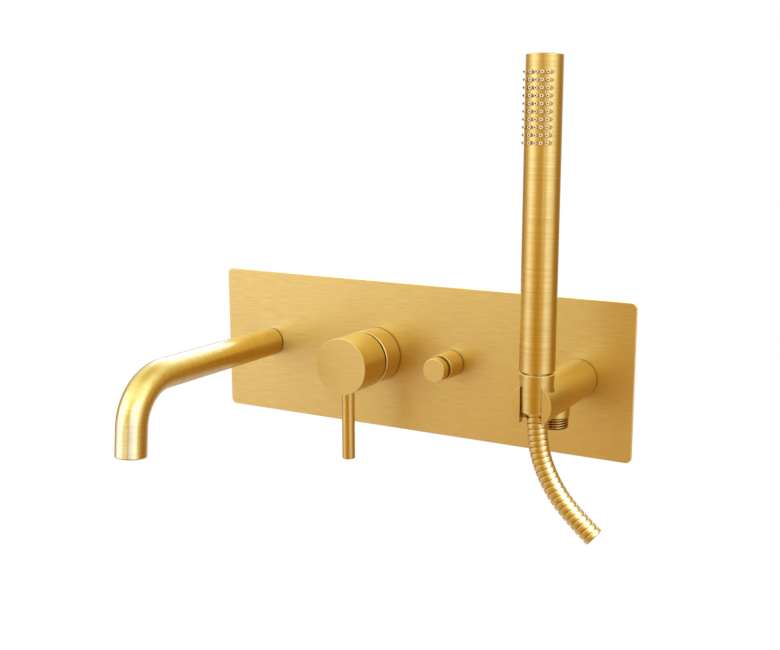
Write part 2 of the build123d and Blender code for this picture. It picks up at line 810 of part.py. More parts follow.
with BuildPart() as diverter_stem_seal:
    ring(diverter_x, stem_seal_station, stem_seal_radius, stem_seal_section)
save(diverter_stem_seal, "diverter_stem_seal")

with BuildPart() as diverter_sleeve:
    turned(
        diverter_x,
        [
            (diverter_sleeve_bore, plate_front),
            (diverter_sleeve_radius - foot_break, plate_front),
            (diverter_sleeve_radius, plate_front - foot_break),
            (diverter_sleeve_radius, diverter_sleeve_front + plate_edge_break),
            (diverter_sleeve_radius - plate_edge_break, diverter_sleeve_front),
            (diverter_sleeve_bore, diverter_sleeve_front),
        ],
    )
save(diverter_sleeve, "diverter_sleeve")

with BuildPart() as diverter_button:
    turned(
        diverter_x,
        [
            (0, button_front),
            (button_radius, button_front),
            (button_radius, button_rear),
            (button_neck_radius, button_rear),
            (button_neck_radius, guide_front),
            (diverter_sleeve_bore - running_gap, guide_front),
            (diverter_sleeve_bore - running_gap, guide_rear),
            (stem_radius + fit_gap, guide_rear),
            (stem_radius + fit_gap, guide_rear - stem_socket),
            (0, guide_rear - stem_socket),
        ],
    )
    fillet(outer_edge(diverter_button, button_front), button_edge_round)
save(diverter_button, "diverter_button")

with BuildPart() as diverter_spool:
    stem_front = guide_rear - stem_socket + face_gap
    rod((diverter_x, spool_end, 0), FRONT, spool_end - stem_front, stem_radius)
    for y in (first_washer_rear + spool_collar, second_washer_rear - washer_thickness):
        rod((diverter_x, y, 0), FRONT, spool_collar, spool_collar_radius)
save(diverter_spool, "diverter_spool")

with BuildPart() as diverter_washers:
    for y in (first_washer_rear, second_washer_rear):
        with BuildSketch(facing(diverter_x, y)):
            Circle(washer_radius)
            Circle(stem_radius + fit_gap, mode=Mode.SUBTRACT)
    extrude(amount=washer_thickness)
save(diverter_washers, "diverter_washers")


def spring_point(turn):
    """A point on the return spring's centre line, and its direction there, after a number of turns."""
    low = guide_rear + spring_wire_radius + face_gap
    rise = spring_seat - spring_wire_radius - face_gap - low
    angle = 2 * math.pi * turn
    side = Vector(spring_radius * math.cos(angle), 0, spring_radius * math.sin(angle))
    around = Vector(-math.sin(angle), 0, math.cos(angle)) * (2 * math.pi * spring_radius * spring_turns)
    centre = Vector(diverter_x, low + rise * turn / spring_turns, 0)
    return centre + side, (around + Vector(0, rise, 0)).normalized()


def quarter_turn(turn):
    """Two tangent arcs that follow a quarter turn of the return spring."""
    (start, leaving), (end, arriving) = spring_point(turn), spring_point(turn + 0.25)
    chord, both = end - start, leaving + arriving
    a, b, c = 4 - both.dot(both), 2 * chord.dot(both), -chord.dot(chord)
    reach = (-b + math.sqrt(b * b - 4 * a * c)) / (2 * a)
    middle = (start + leaving * reach + end - arriving * reach) / 2
    TangentArc(start, middle, tangent=leaving)
    TangentArc(middle, end, tangent=(end - arriving * reach - middle).normalized())


with BuildPart() as diverter_spring:
    with BuildLine() as spring_path:
        for i in range(4 * spring_turns):
            quarter_turn(i / 4)
    with BuildSketch(Plane(origin=spring_path.line @ 0, z_dir=spring_path.line % 0)):
        Circle(spring_wire_radius)
    sweep(path=spring_path.line)
save(diverter_spring, "diverter_spring")
spring_steps = 12 * spring_turns
spring_points = [spring_point(i / 12)[0] for i in range(spring_steps + 1)]
least = min((p - q).length for i, p in enumerate(spring_points) for q in spring_points[i + 8 :])
print(f"return spring: least gap to itself {least - 2 * spring_wire_radius:.2f} mm")


# Shower arm with its fork, and the outlet below it
def seat_radius(z):
    """The fork's radius round the hose nut at a height."""
    return nut_shoulder_radius + nut_slope * (z - nut_shoulder) + air_gap


with BuildPart() as shower_arm:
    rod((arm_x, plate_front, 0), FRONT, arm_length, arm_radius)
    fillet(outer_edge(shower_arm, arm_front), arm_edge_round)
    chamfer(outer_edge(shower_arm, plate_front), foot_break)
    rod((arm_x, nipple_y, 0), DOWN, -nipple_boss_z, nipple_boss_radius)
    rod((arm_x, plate_front, 0), FRONT, arm_socket, arm_socket_radius, Mode.SUBTRACT)
    rod((arm_x, plate_front, 0), FRONT, plate_front - nipple_y, arm_waterway_radius, Mode.SUBTRACT)
    rod((arm_x, nipple_y, 0), DOWN, -nipple_boss_z, nipple_bore_radius, Mode.SUBTRACT)
    rod((arm_x, nipple_y, nipple_boss_z), UP, nipple_shank + air_gap, nipple_shank_radius, Mode.SUBTRACT)
    rod((arm_x, grub_station, 0), DOWN, arm_radius + air_gap, grub_radius, Mode.SUBTRACT)
    seat_high, seat_floor, seat_low = arm_radius + air_gap, nut_low - air_gap, -arm_radius - air_gap
    turned_up(
        arm_x,
        wand_y,
        [
            (0, seat_low),
            (fork_bore_radius, seat_low),
            (fork_bore_radius, seat_floor),
            (seat_radius(seat_floor), seat_floor),
            (seat_radius(seat_high), seat_high),
            (0, seat_high),
        ],
        Mode.SUBTRACT,
    )
    with BuildSketch(facing(arm_x, wand_y)):
        Rectangle(2 * fork_slot_half, 2 * seat_high)
    extrude(amount=wand_y - arm_front + air_gap, mode=Mode.SUBTRACT)
save(shower_arm, "shower_arm")

with BuildPart() as outlet_nipple:
    turned_up(
        arm_x,
        nipple_y,
        [
            (nipple_bore_radius, nipple_tip_z),
            (thread_major_radius - nipple_end_break, nipple_tip_z),
            (thread_major_radius, nipple_tip_z + nipple_end_break),
            (thread_major_radius, nipple_boss_z),
            (nipple_shank_radius - fit_gap, nipple_boss_z),
            (nipple_shank_radius - fit_gap, nipple_boss_z + nipple_shank),
            (nipple_bore_radius, nipple_boss_z + nipple_shank),
        ],
    )
save(outlet_nipple, "outlet_nipple")


# Hand shower
def spray_column(offset, radius, start, end, mode=Mode.ADD):
    """Add or cut one column of round nozzles, from one distance in front of the wand's axis to another."""
    with BuildSketch(facing(arm_x + offset, wand_y - start, spray_middle)) as column:
        with GridLocations(0, spray_row_pitch, 1, spray_rows):
            Circle(radius)
    extrude(column.sketch, amount=end - start, mode=mode)


with BuildPart() as wand_tube:
    turned_up(
        arm_x,
        wand_y,
        [
            (wand_bore_radius, wand_low),
            (wand_radius - wand_edge_break, wand_low),
            (wand_radius, wand_low + wand_edge_break),
            (wand_radius, wand_high - wand_edge_break),
            (wand_radius - wand_edge_break, wand_high),
            (wand_bore_radius, wand_high),
        ],
    )
    for offset in columns:
        spray_column(offset, nozzle_radius + nozzle_play, 0, nozzle_tip, Mode.SUBTRACT)
save(wand_tube, "wand_tube")

with BuildPart() as wand_cap:
    cap_low = (arm_x, wand_y, wand_high - wand_cap_depth)
    rod(cap_low, UP, wand_cap_depth - face_gap, wand_bore_radius - fit_gap)
save(wand_cap, "wand_cap")

mat_radius = wand_bore_radius - running_gap
mat_height = spray_row_pitch * (spray_rows - 1) + 2 * spray_mat_margin
with BuildPart() as spray_mat:
    with BuildSketch(Plane.XY.offset(spray_middle - mat_height / 2)):
        with Locations((arm_x, wand_y)):
            Circle(mat_radius)
            Circle(mat_radius - spray_mat_thickness, mode=Mode.SUBTRACT)
            with Locations((0, -mat_radius - spray_mat_back)):
                Rectangle(2 * mat_radius, 2 * mat_radius, mode=Mode.INTERSECT)
    extrude(amount=mat_height)
    for offset in columns:
        nozzle_edge = abs(offset) + nozzle_radius
        nozzle_start = math.sqrt((mat_radius - spray_mat_thickness / 2) ** 2 - nozzle_edge**2)
        spray_column(offset, nozzle_radius, nozzle_start, nozzle_tip)
    for offset in columns:
        spray_column(offset, nozzle_hole_radius, 0, nozzle_tip + nozzle_stand, Mode.SUBTRACT)
save(spray_mat, "spray_mat")

with BuildPart() as wand_coupling:
    turned_up(
        arm_x,
        wand_y,
        [
            (coupling_bore_radius, wand_low - coupling_thread),
            (thread_minor_radius - fit_gap, wand_low - coupling_thread),
            (thread_minor_radius - fit_gap, wand_low),
            (wand_bore_radius - fit_gap, wand_low),
            (wand_bore_radius - fit_gap, wand_low + coupling_flange),
            (coupling_bore_radius, wand_low + coupling_flange),
        ],
    )
save(wand_coupling, "wand_coupling")


# Hose nut, washer and ferrule
with BuildPart() as hose_nut:
    turned_up(
        arm_x,
        wand_y,
        [
            (nut_bore_radius, nut_low),
            (nut_low_radius - nut_foot_break, nut_low),
            (nut_low_radius, nut_low + nut_foot_break),
            (nut_shoulder_radius, nut_shoulder),
            (nut_collar_radius, nut_shoulder),
            (nut_collar_radius, nut_high - nut_edge_break),
            (nut_collar_radius - nut_edge_break, nut_high),
            (thread_minor_radius, nut_high),
            (thread_minor_radius, nut_floor),
            (nut_bore_radius, nut_floor),
        ],
    )
save(hose_nut, "hose_nut")

ferrule_high = nut_floor + face_gap + ferrule_flange
with BuildPart() as hose_washer:
    washer_low = ferrule_high + face_gap
    turned_up(
        arm_x,
        wand_y,
        [
            (washer_ring_bore_radius, washer_low),
            (thread_minor_radius - fit_gap, washer_low),
            (thread_minor_radius - fit_gap, washer_low + washer_ring_thickness),
            (washer_ring_bore_radius, washer_low + washer_ring_thickness),
        ],
    )
save(hose_washer, "hose_washer")

with BuildPart() as hose_ferrule:
    turned_up(
        arm_x,
        wand_y,
        [
            (ferrule_bore_radius, ferrule_barb_low),
            (ferrule_barb_radius, ferrule_barb_low),
            (ferrule_barb_radius, ferrule_low),
            (nut_bore_radius - running_gap, ferrule_low),
            (nut_bore_radius - running_gap, nut_floor + face_gap),
            (thread_minor_radius - running_gap, nut_floor + face_gap),
            (thread_minor_radius - running_gap, ferrule_high),
            (ferrule_bore_radius, ferrule_high),
        ],
    )
save(hose_ferrule, "hose_ferrule")


# Hose: straight runs and tangent arcs, with square ribs along it and a lining tube inside
hose_points = [Vector(arm_x + x, wand_y, z) for x, z in hose_route]
hose_runs = [b - a for a, b in zip(hose_points, hose_points[1:])]
hose_radii = []
for before, after in zip(hose_runs, hose_runs[1:]):
    half_turn = math.radians(before.get_angle(after)) / 2
    bend = min(before.length, after.length) * (1 - hose_straight_share) / 2
    hose_radii.append(bend / math.tan(half_turn))
with BuildLine() as hose_path:
    FilletPolyline(*hose_points, radius=hose_radii)
hose_line = hose_path.wire()
print("hose: bend radii", [round(r, 1) for r in hose_radii], "length", round(hose_line.length, 1))


def hose_plane(station):
    """The plane square to the hose at a share of its length, turned alike all along."""
    return Plane(origin=hose_line @ station, x_dir=INTO, z_dir=hose_line % station)


def hose_tube(radius, mode=Mode.ADD):
    """Add or cut a round tube along the whole hose."""
    with BuildSketch(hose_plane(0)) as profile:
        Circle(radius)
    sweep(profile.sketch, path=hose_line, mode=mode)


with BuildPart() as hose:
    crest_end = 1 - hose_rib_groove - hose_rib_flank
    rib_steps = [(0, hose_groove_depth), (hose_rib_flank, 0), (crest_end, 0)]
    rib_steps.append((1 - hose_rib_groove, hose_groove_depth))
    for i in range(hose_ribs):
        for step, depth in rib_steps:
            with BuildSketch(hose_plane((i + step) / hose_ribs)):
                Circle(hose_radius - depth)
    with BuildSketch(hose_plane(1)):
        Circle(hose_radius - hose_groove_depth)
    loft(ruled=True)
    hose_tube(hose_bore_radius, Mode.SUBTRACT)
save(hose, "hose")

liner_radius = hose_bore_radius - fit_gap
with BuildPart() as hose_liner:
    hose_tube(liner_radius)
    hose_tube(liner_radius - liner_wall, Mode.SUBTRACT)
    barb_room = ferrule_low - ferrule_barb_low + air_gap
    rod((arm_x, wand_y, ferrule_low), DOWN, barb_room, ferrule_barb_radius + fit_gap, Mode.SUBTRACT)
save(hose_liner, "hose_liner")
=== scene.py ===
"""The visual model of a wall mounted bath faucet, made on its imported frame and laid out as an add-on."""

import json
import math

import bpy
from bpy.props import FloatProperty, FloatVectorProperty, IntProperty, PointerProperty
from mathutils import Matrix, Vector


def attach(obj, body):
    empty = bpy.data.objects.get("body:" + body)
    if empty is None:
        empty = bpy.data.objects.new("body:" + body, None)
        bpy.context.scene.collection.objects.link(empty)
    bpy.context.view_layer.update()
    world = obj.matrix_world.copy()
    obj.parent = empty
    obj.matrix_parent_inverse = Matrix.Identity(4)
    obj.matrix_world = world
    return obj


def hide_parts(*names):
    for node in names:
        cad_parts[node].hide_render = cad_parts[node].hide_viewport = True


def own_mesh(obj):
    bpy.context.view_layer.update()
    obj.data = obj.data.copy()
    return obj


bl_info = {
    "name": "Wall Mounted Bath Faucet",
    "version": (1, 0, 0),
    "blender": (4, 5, 0),
    "location": "3D Viewport > Sidebar > Faucet",
    "description": "Makes the hose, nozzles, thread, spring, finishes and stage of a bath faucet",
    "category": "Object",
}

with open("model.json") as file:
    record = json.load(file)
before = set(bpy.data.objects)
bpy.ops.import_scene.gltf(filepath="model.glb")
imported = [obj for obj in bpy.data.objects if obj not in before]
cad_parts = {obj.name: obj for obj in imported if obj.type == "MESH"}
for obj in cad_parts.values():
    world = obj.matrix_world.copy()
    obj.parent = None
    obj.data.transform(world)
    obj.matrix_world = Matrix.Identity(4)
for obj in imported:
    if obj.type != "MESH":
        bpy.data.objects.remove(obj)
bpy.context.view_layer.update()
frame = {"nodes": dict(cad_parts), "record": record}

# Axes of the fittings, in metres
MIXER = (-0.034, 0.0, 0.0)
LEVER = (-0.034, -0.046, 0.0)
DIVERTER = (0.0345, 0.0, 0.0)
ARM = (0.140, 0.0, 0.0)
WAND = (0.140, -0.08287, 0.0)
OUTLET = (0.140, -0.0495, 0.0)
ALONG_Y, ALONG_Z = (0.0, 1.0, 0.0), (0.0, 0.0, 1.0)

# Depths just behind the front faces, and from where the painted contact shade at a fitting's foot starts to
# where it is fullest
CAP_FACE, BUTTON_FACE, ARM_FACE = -0.0567, -0.0329, -0.0929
FOOT_SHADE = (-0.0032, -0.0026)

# Where most values of a noise lie
NOISE_RANGE = (0.3, 0.7)

# The hose's route, as control points in the plane of the hand shower
HOSE_ROUTE = [
    (0.1400, -0.08287, -0.0046),
    (0.1412, -0.08287, -0.0290),
    (0.1501, -0.08287, -0.0526),
    (0.1654, -0.08287, -0.0732),
    (0.1847, -0.08287, -0.0888),
]


def length(name, description, default):
    """A length in metres."""
    return FloatProperty(name=name, description=description, default=default, unit="LENGTH", precision=5)


def count(name, description, default):
    """A whole number of repeats."""
    return IntProperty(name=name, description=description, default=default, min=1)


def colour(name, description, default):
    """A colour in linear light."""
    return FloatVectorProperty(
        name=name, description=description, default=default, subtype="COLOR", size=3, min=0.0, max=1.0
    )


class FaucetSizes(bpy.types.PropertyGroup):
    """Sizes of the pieces that are made here"""

    hose_radius: length("Hose radius", "Radius over the hose's ribs", 0.0070)
    hose_core: length("Hose core", "Radius of the tube that the ribs are wound on", 0.0059)
    hose_bore: length("Hose bore", "Radius of the water's way through the lining", 0.0037)
    hose_ribs: count("Hose ribs", "Number of ribs along the hose", 24)
    rib_width: length("Rib width", "Width of one rib along the hose", 0.00345)
    rib_height: length("Rib height", "Height of one rib's section", 0.0022)
    rib_round: length("Rib rounding", "Rounding of a rib's shoulders", 0.0002)
    spray_rows: count("Spray rows", "Rows of nozzles up the hand shower", 10)
    spray_columns: count("Spray columns", "Columns of nozzles across the hand shower", 5)
    spray_row_pitch: length("Row pitch", "Distance between rows of nozzles", 0.00494)
    spray_column_pitch: length("Column pitch", "Distance between columns of nozzles", 0.00414)
    spray_top_row: length("Top row", "Height of the top row of nozzles", 0.2190)
    nozzle_radius: length("Nozzle radius", "Outer radius of a nozzle", 0.00115)
    nozzle_hole: length("Nozzle hole", "Radius of a nozzle's hole", 0.0005)
    nozzle_tip: length("Nozzle tip", "Distance of the tips from the hand shower's axis", 0.0142)
    mat_radius: length("Mat radius", "Outer radius of the mat that carries the nozzles", 0.01102)
    mat_thickness: length("Mat thickness", "Thickness of that mat", 0.0011)
    mat_back: length("Mat edge", "Distance of the mat's long edges from the axis", 0.0020)
    mat_margin: length("Mat margin", "Mat above the top row and below the bottom one", 0.0045)
    thread_radius: length("Thread radius", "Outer radius of the outlet's thread", 0.010478)
    thread_pitch: length("Thread pitch", "Pitch of the outlet's thread", 0.001814)
    thread_depth: length("Thread depth", "Depth of the outlet's thread", 0.00110)
    outlet_bore: length("Outlet bore", "Radius of the outlet's bore", 0.0062)
    outlet_shank: length("Outlet shank", "Radius of the shank inside the arm", 0.00835)
    outlet_low: length("Outlet end", "Height of the outlet's lower end", -0.0250)
    outlet_seat: length("Outlet seat", "Height of the outlet's shoulder under the arm", -0.0166)
    outlet_high: length("Outlet top", "Height of the shank's upper end", -0.0096)
    spring_radius: length("Spring radius", "Radius of the return spring's centre line", 0.0044)
    spring_wire: length("Spring wire", "Radius of the return spring's wire", 0.00055)
    spring_turns: count("Spring turns", "Turns of the return spring", 5)
    spring_front: length("Spring front", "Depth of the front end of the spring's centre line", -0.0169)
    spring_rear: length("Spring rear", "Depth of the rear end of the spring's centre line", -0.0006)


class FaucetColours(bpy.types.PropertyGroup):
    """Colours of the finishes"""

    gold: colour("Gold", "Brushed gold on the ridges of the brushing", (0.70, 0.455, 0.060))
    gold_deep: colour("Deep gold", "Brushed gold between the ridges", (0.61, 0.37, 0.036))
    bright_brass: colour("Bright brass", "Thread of the outlet", (0.70, 0.45, 0.15))
    cast_brass: colour("Cast brass", "In-wall castings", (0.46, 0.32, 0.12))
    turned_brass: colour("Turned brass", "In-wall turned pieces", (0.62, 0.45, 0.18))
    pipe: colour("Pipe", "In-wall pipes", (0.58, 0.40, 0.17))
    steel: colour("Steel", "Screws, pin and spring", (0.56, 0.56, 0.57))
    rubber: colour("Rubber", "Seals and rings", (0.022, 0.022, 0.024))
    silicone: colour("Silicone", "Tips of the spray nozzles", (0.98, 0.81, 0.50))
    cartridge: colour("Cartridge plastic", "Mixing cartridge", (0.72, 0.72, 0.70))
    ceramic: colour("Ceramic", "Mixing discs", (0.80, 0.79, 0.76))
    # Painted shade inside the nozzles' holes
    nozzle_hole: colour("Nozzle hole", "Inside of the nozzles' holes", (0.08, 0.045, 0.016))
    # Painted shade in the roots of the outlet's thread
    thread_root: colour("Thread root", "Roots of the outlet's thread", (0.28, 0.155, 0.038))
    # Painted shade in the grooves between the hose's ribs
    hose_groove: colour("Hose groove", "Grooves between the hose's ribs", (0.16, 0.08, 0.015))
    # Painted contact shade where a fitting stands on the plate
    foot_joint: colour("Foot joint", "Joint where a fitting stands on the plate", (0.10, 0.05, 0.012))
    # Painted reflection of the gold around, with painted shade, on the clear silicone behind the tips
    amber_reflection: colour("Amber silicone", "Spray mat behind the tips of its nozzles", (0.66, 0.44, 0.15))
    aerator: colour("Aerator plastic", "Insert in the spout's mouth", (0.11, 0.085, 0.05))
    liner: colour("Lining", "Lining of the hose", (0.60, 0.55, 0.46))
    floor: colour("Floor", "Plain floor under the stage", (0.88, 0.88, 0.88))


def sizes():
    """The scene's sizes."""
    return bpy.context.scene.faucet_sizes


def colours():
    """The scene's colours."""
    return bpy.context.scene.faucet_colours


# Meshes


def new_mesh(name, points, faces, smooth=True):
    """A mesh from points and faces."""
    mesh = bpy.data.meshes.new(name)
    mesh.from_pydata([tuple(p) for p in points], [], faces)
    mesh.validate()
    mesh.polygons.foreach_set("use_smooth", [smooth] * len(mesh.polygons))
    mesh.update()
    return mesh


def new_object(name, data):
    """An object at the origin that holds the data, in the scene."""
    obj = bpy.data.objects.new(name, data)
    bpy.context.scene.collection.objects.link(obj)
    return obj


def ring_faces(rings, segments, joined):
    """Quads between rings of points, with the last ring joined to the first one if asked."""
    faces = []
    for i in range(rings if joined else rings - 1):
        low, high = i * segments, (i + 1) % rings * segments
        for j in range(segments):
            k = (j + 1) % segments
            faces.append((low + j, low + k, high + k, high + j))
    return faces


def circle(centre, side, other, radius, segments):
    """Points of a circle round a centre, from one direction to another at a right angle to it and on."""
    turns = [2 * math.pi * j / segments for j in range(segments)]
    return [centre + (side * math.cos(turn) + other * math.sin(turn)) * radius for turn in turns]


def turned_points(outline, centre, axis, segments):
    """Rings of points that turn an outline of (radius, station) about an axis through a centre."""
    axis, centre = Vector(axis), Vector(centre)
    side = axis.orthogonal().normalized()
    other = axis.cross(side)
    points = []
    for radius, station in outline:
        points += circle(centre + axis * station, side, other, radius, segments)
    return points


def tube_points(path, radius, segments):
    """Rings of points of one radius round a path of points, turned as little as possible along it."""
    points, side = [], None
    for i, point in enumerate(path):
        ahead = (path[min(i + 1, len(path) - 1)] - path[max(i - 1, 0)]).normalized()
        side = ahead.orthogonal() if side is None else side - ahead * side.dot(ahead)
        side.normalize()
        points += circle(point, side, ahead.cross(side), radius, segments)
    return points


def outward(mesh):
    """Turn all faces over if the mesh is inside out, judged by its signed volume."""
    volume = 0.0
    for face in mesh.polygons:
        a, b, c = (mesh.vertices[face.vertices[i]].co for i in (0, 1, 2))
        volume += a.dot(b.cross(c))
        if len(face.vertices) == 4:
            d = mesh.vertices[face.vertices[3]].co
            volume += a.dot(c.cross(d))
    if volume < 0:
        mesh.flip_normals()
    return mesh


def merged(name, parts):
    """One mesh from (mesh, material index) parts."""
    points, faces, smooth, index = [], [], [], []
    for mesh, slot in parts:
        start = len(points)
        points += [v.co.copy() for v in mesh.vertices]
        for face in mesh.polygons:
            faces.append([start + i for i in face.vertices])
            smooth.append(face.use_smooth)
            index.append(slot)
    whole = bpy.data.meshes.new(name)
    whole.from_pydata([tuple(p) for p in points], [], faces)
    whole.polygons.foreach_set("use_smooth", smooth)
    whole.polygons.foreach_set("material_index", index)
    whole.update()
    return whole


def sharpen(mesh, degrees):
    """Mark the edges that turn more than an angle as sharp."""
    mesh.set_sharp_from_angle(angle=math.radians(degrees))


def evaluated_mesh(obj):
    """The mesh of an object with its modifiers, as plain data."""
    graph = bpy.context.evaluated_depsgraph_get()
    return bpy.data.meshes.new_from_object(obj.evaluated_get(graph))


# Node trees


def put(tree, socket, value):
    """Link a socket to another one, or set it to a value."""
    if isinstance(value, bpy.types.NodeSocket):
        tree.links.new(value, socket)
    else:
        socket.default_value = value


def fill(tree, node, inputs):
    """Link or set inputs of a node, by their names or places."""
    for name, value in inputs.items():
        put(tree, node.inputs[name], value)


def add(tree, kind, inputs=None, **settings):
    """Add a node, with its settings and its inputs."""
    node = tree.nodes.new(kind)
    for name, value in settings.items():
        setattr(node, name, value)
    fill(tree, node, inputs or {})
    return node


def made(tree, kind, inputs, **settings):
    """The first output of a new node."""
    return add(tree, kind, inputs, **settings).outputs[0]


def maths(tree, operation, *values):
    """The result of a maths node."""
    return made(tree, "ShaderNodeMath", dict(enumerate(values)), operation=operation)


def vectors(tree, operation, *values):
    """The result of a vector maths node that gives a vector."""
    return made(tree, "ShaderNodeVectorMath", dict(enumerate(values)), operation=operation)


def scaled(tree, vector, factor):
    """A vector times a factor."""
    return made(tree, "ShaderNodeVectorMath", {0: vector, "Scale": factor}, operation="SCALE")


def number_from(tree, operation, *values):
    """The result of a vector maths node that gives a number."""
    node = add(tree, "ShaderNodeVectorMath", dict(enumerate(values)), operation=operation)
    return node.outputs["Value"]


def axes_of(tree, vector):
    """The X, Y and Z of a vector."""
    return add(tree, "ShaderNodeSeparateXYZ", {0: vector}).outputs


def vector_of(tree, *axes):
    """A vector from its X, and its Y and Z where they are given."""
    return made(tree, "ShaderNodeCombineXYZ", dict(enumerate(axes)))


def spread(tree, value, low, high, new_low, new_high):
    """A value moved from one range to another and kept in it."""
    inputs = {0: value, 1: low, 2: high, 3: new_low, 4: new_high}
    return made(tree, "ShaderNodeMapRange", inputs)


def mixed(tree, kind, factor, first, second):
    """A mix of two values of a kind: Float, Vector or Color. A colour may be given as red, green and blue."""
    data_types = {"Float": "FLOAT", "Vector": "VECTOR", "Color": "RGBA"}
    node = add(tree, "ShaderNodeMix", data_type=data_types[kind])
    given = {"Factor_Float": factor, f"A_{kind}": first, f"B_{kind}": second}
    for socket in node.inputs:
        if socket.identifier in given:
            value = given[socket.identifier]
            plain = isinstance(value, (float, bpy.types.NodeSocket))
            put(tree, socket, value if plain else (*value, 1.0))
    return next(s for s in node.outputs if s.identifier == f"Result_{kind}")


def noise(tree, vector, scale, detail=2.0, roughness=0.5):
    """The value of a noise texture."""
    inputs = {"Vector": vector, "Scale": scale, "Detail": detail, "Roughness": roughness}
    return made(tree, "ShaderNodeTexNoise", inputs)


def new_group(name, inputs, outputs, tree_kind="ShaderNodeTree"):
    """A node group, the sockets that hold its inputs and those that take its outputs.

    Inputs and outputs are lists of names by kind, or names with their defaults by kind.
    """
    tree = bpy.data.node_groups.new(name, tree_kind)
    for side, kinds in (("INPUT", inputs), ("OUTPUT", outputs)):
        for kind, names in kinds.items():
            for label in names:
                socket = tree.interface.new_socket(label, in_out=side, socket_type="NodeSocket" + kind)
                if isinstance(names, dict):
                    socket.default_value = names[label]
    return tree, tree.nodes.new("NodeGroupInput").outputs, tree.nodes.new("NodeGroupOutput").inputs


def lay_lines_group():
    """Make the group that draws brush lines across the X of a vector, and wider streaks among them."""
    tree, out, result = new_group("lay_lines", {"Vector": ["Vector"]}, {"Float": ["Line", "Streak"]})
    widen = (0.35, 1.0, 1.0)
    line = noise(tree, out["Vector"], 1.0, 2.0, 0.6)
    wide = noise(tree, vectors(tree, "MULTIPLY", out["Vector"], widen), 1.0, 1.0)
    both = maths(tree, "ADD", maths(tree, "MULTIPLY", line, 0.6), maths(tree, "MULTIPLY", wide, 0.4))
    tree.links.new(line, result["Line"])
    tree.links.new(spread(tree, both, *NOISE_RANGE, 0.0, 1.0), result["Streak"])


def turned_lay_group():
    """Make the group that lays brush lines round an axis, and level ones on a face before a given station."""
    inputs = {
        "Vector": ["Position", "Centre", "Axis"],
        "Float": {"Face": -1.0, "Lines": 3000.0, "Drift": 45.0},
    }
    tree, out, result = new_group("turned_lay", inputs, {"Vector": ["Vector"]})
    place = vectors(tree, "SUBTRACT", out["Position"], out["Centre"])
    station = number_from(tree, "DOT_PRODUCT", place, out["Axis"])
    spoke = vectors(tree, "SUBTRACT", place, scaled(tree, out["Axis"], station))
    outwards = maths(tree, "ADD", station, number_from(tree, "LENGTH", spoke))
    across = maths(tree, "MULTIPLY", outwards, out["Lines"])
    drift = scaled(tree, spoke, out["Drift"])
    axes = axes_of(tree, place)
    level = maths(tree, "MULTIPLY", axes[2], out["Lines"])
    level = vector_of(tree, level, maths(tree, "MULTIPLY", axes[0], out["Drift"]))
    on_face = maths(tree, "LESS_THAN", station, out["Face"])
    turned = vectors(tree, "ADD", vector_of(tree, across), drift)
    tree.links.new(mixed(tree, "Vector", on_face, turned, level), result["Vector"])


def spout_lay_group():
    """Make the group that lays brush lines round the spout: along its run, round its bend, down its leg."""
    shape = {"Bend Start": -0.1379, "Bend Radius": 0.0368, "Bend Angle": math.radians(84.2)}
    inputs = {"Vector": ["Position"], "Float": {**shape, "Lines": 1500.0, "Drift": 45.0}}
    tree, out, result = new_group("spout_lay", inputs, {"Vector": ["Vector"]})
    place = axes_of(tree, out["Position"])
    ahead = maths(tree, "SUBTRACT", out["Bend Start"], place[1])
    above = maths(tree, "ADD", place[2], out["Bend Radius"])
    angle = maths(tree, "ARCTAN2", ahead, above)
    sine, cosine = maths(tree, "SINE", out["Bend Angle"]), maths(tree, "COSINE", out["Bend Angle"])
    forward, down = maths(tree, "MULTIPLY", ahead, cosine), maths(tree, "MULTIPLY", above, sine)
    on_leg = maths(tree, "SUBTRACT", forward, down)
    leg = maths(tree, "ADD", on_leg, maths(tree, "MULTIPLY", out["Bend Angle"], out["Bend Radius"]))
    bend = maths(tree, "MULTIPLY", angle, out["Bend Radius"])
    is_leg = maths(tree, "GREATER_THAN", angle, out["Bend Angle"])
    is_run = maths(tree, "LESS_THAN", ahead, 0.0)
    station = mixed(tree, "Float", is_run, mixed(tree, "Float", is_leg, bend, leg), ahead)
    across = maths(tree, "MULTIPLY", station, out["Lines"])
    drift = scaled(tree, out["Position"], out["Drift"])
    tree.links.new(vectors(tree, "ADD", vector_of(tree, across), drift), result["Vector"])


def use_group(tree, name, inputs):
    """The outputs of a node that uses a shader group."""
    return add(tree, "ShaderNodeGroup", inputs, node_tree=bpy.data.node_groups[name]).outputs


def blank_tree(owner):
    """The node tree of a material or a world, emptied."""
    owner.use_nodes = True
    owner.node_tree.nodes.clear()
    return owner.node_tree


def new_material(name):
    """The tree of a new material, its one Principled shader and the object coordinates."""
    tree = blank_tree(bpy.data.materials.new(name))
    shader = add(tree, "ShaderNodeBsdfPrincipled")
    output = add(tree, "ShaderNodeOutputMaterial")
    tree.links.new(shader.outputs[0], output.inputs["Surface"])
    return tree, shader, add(tree, "ShaderNodeTexCoord").outputs["Object"]


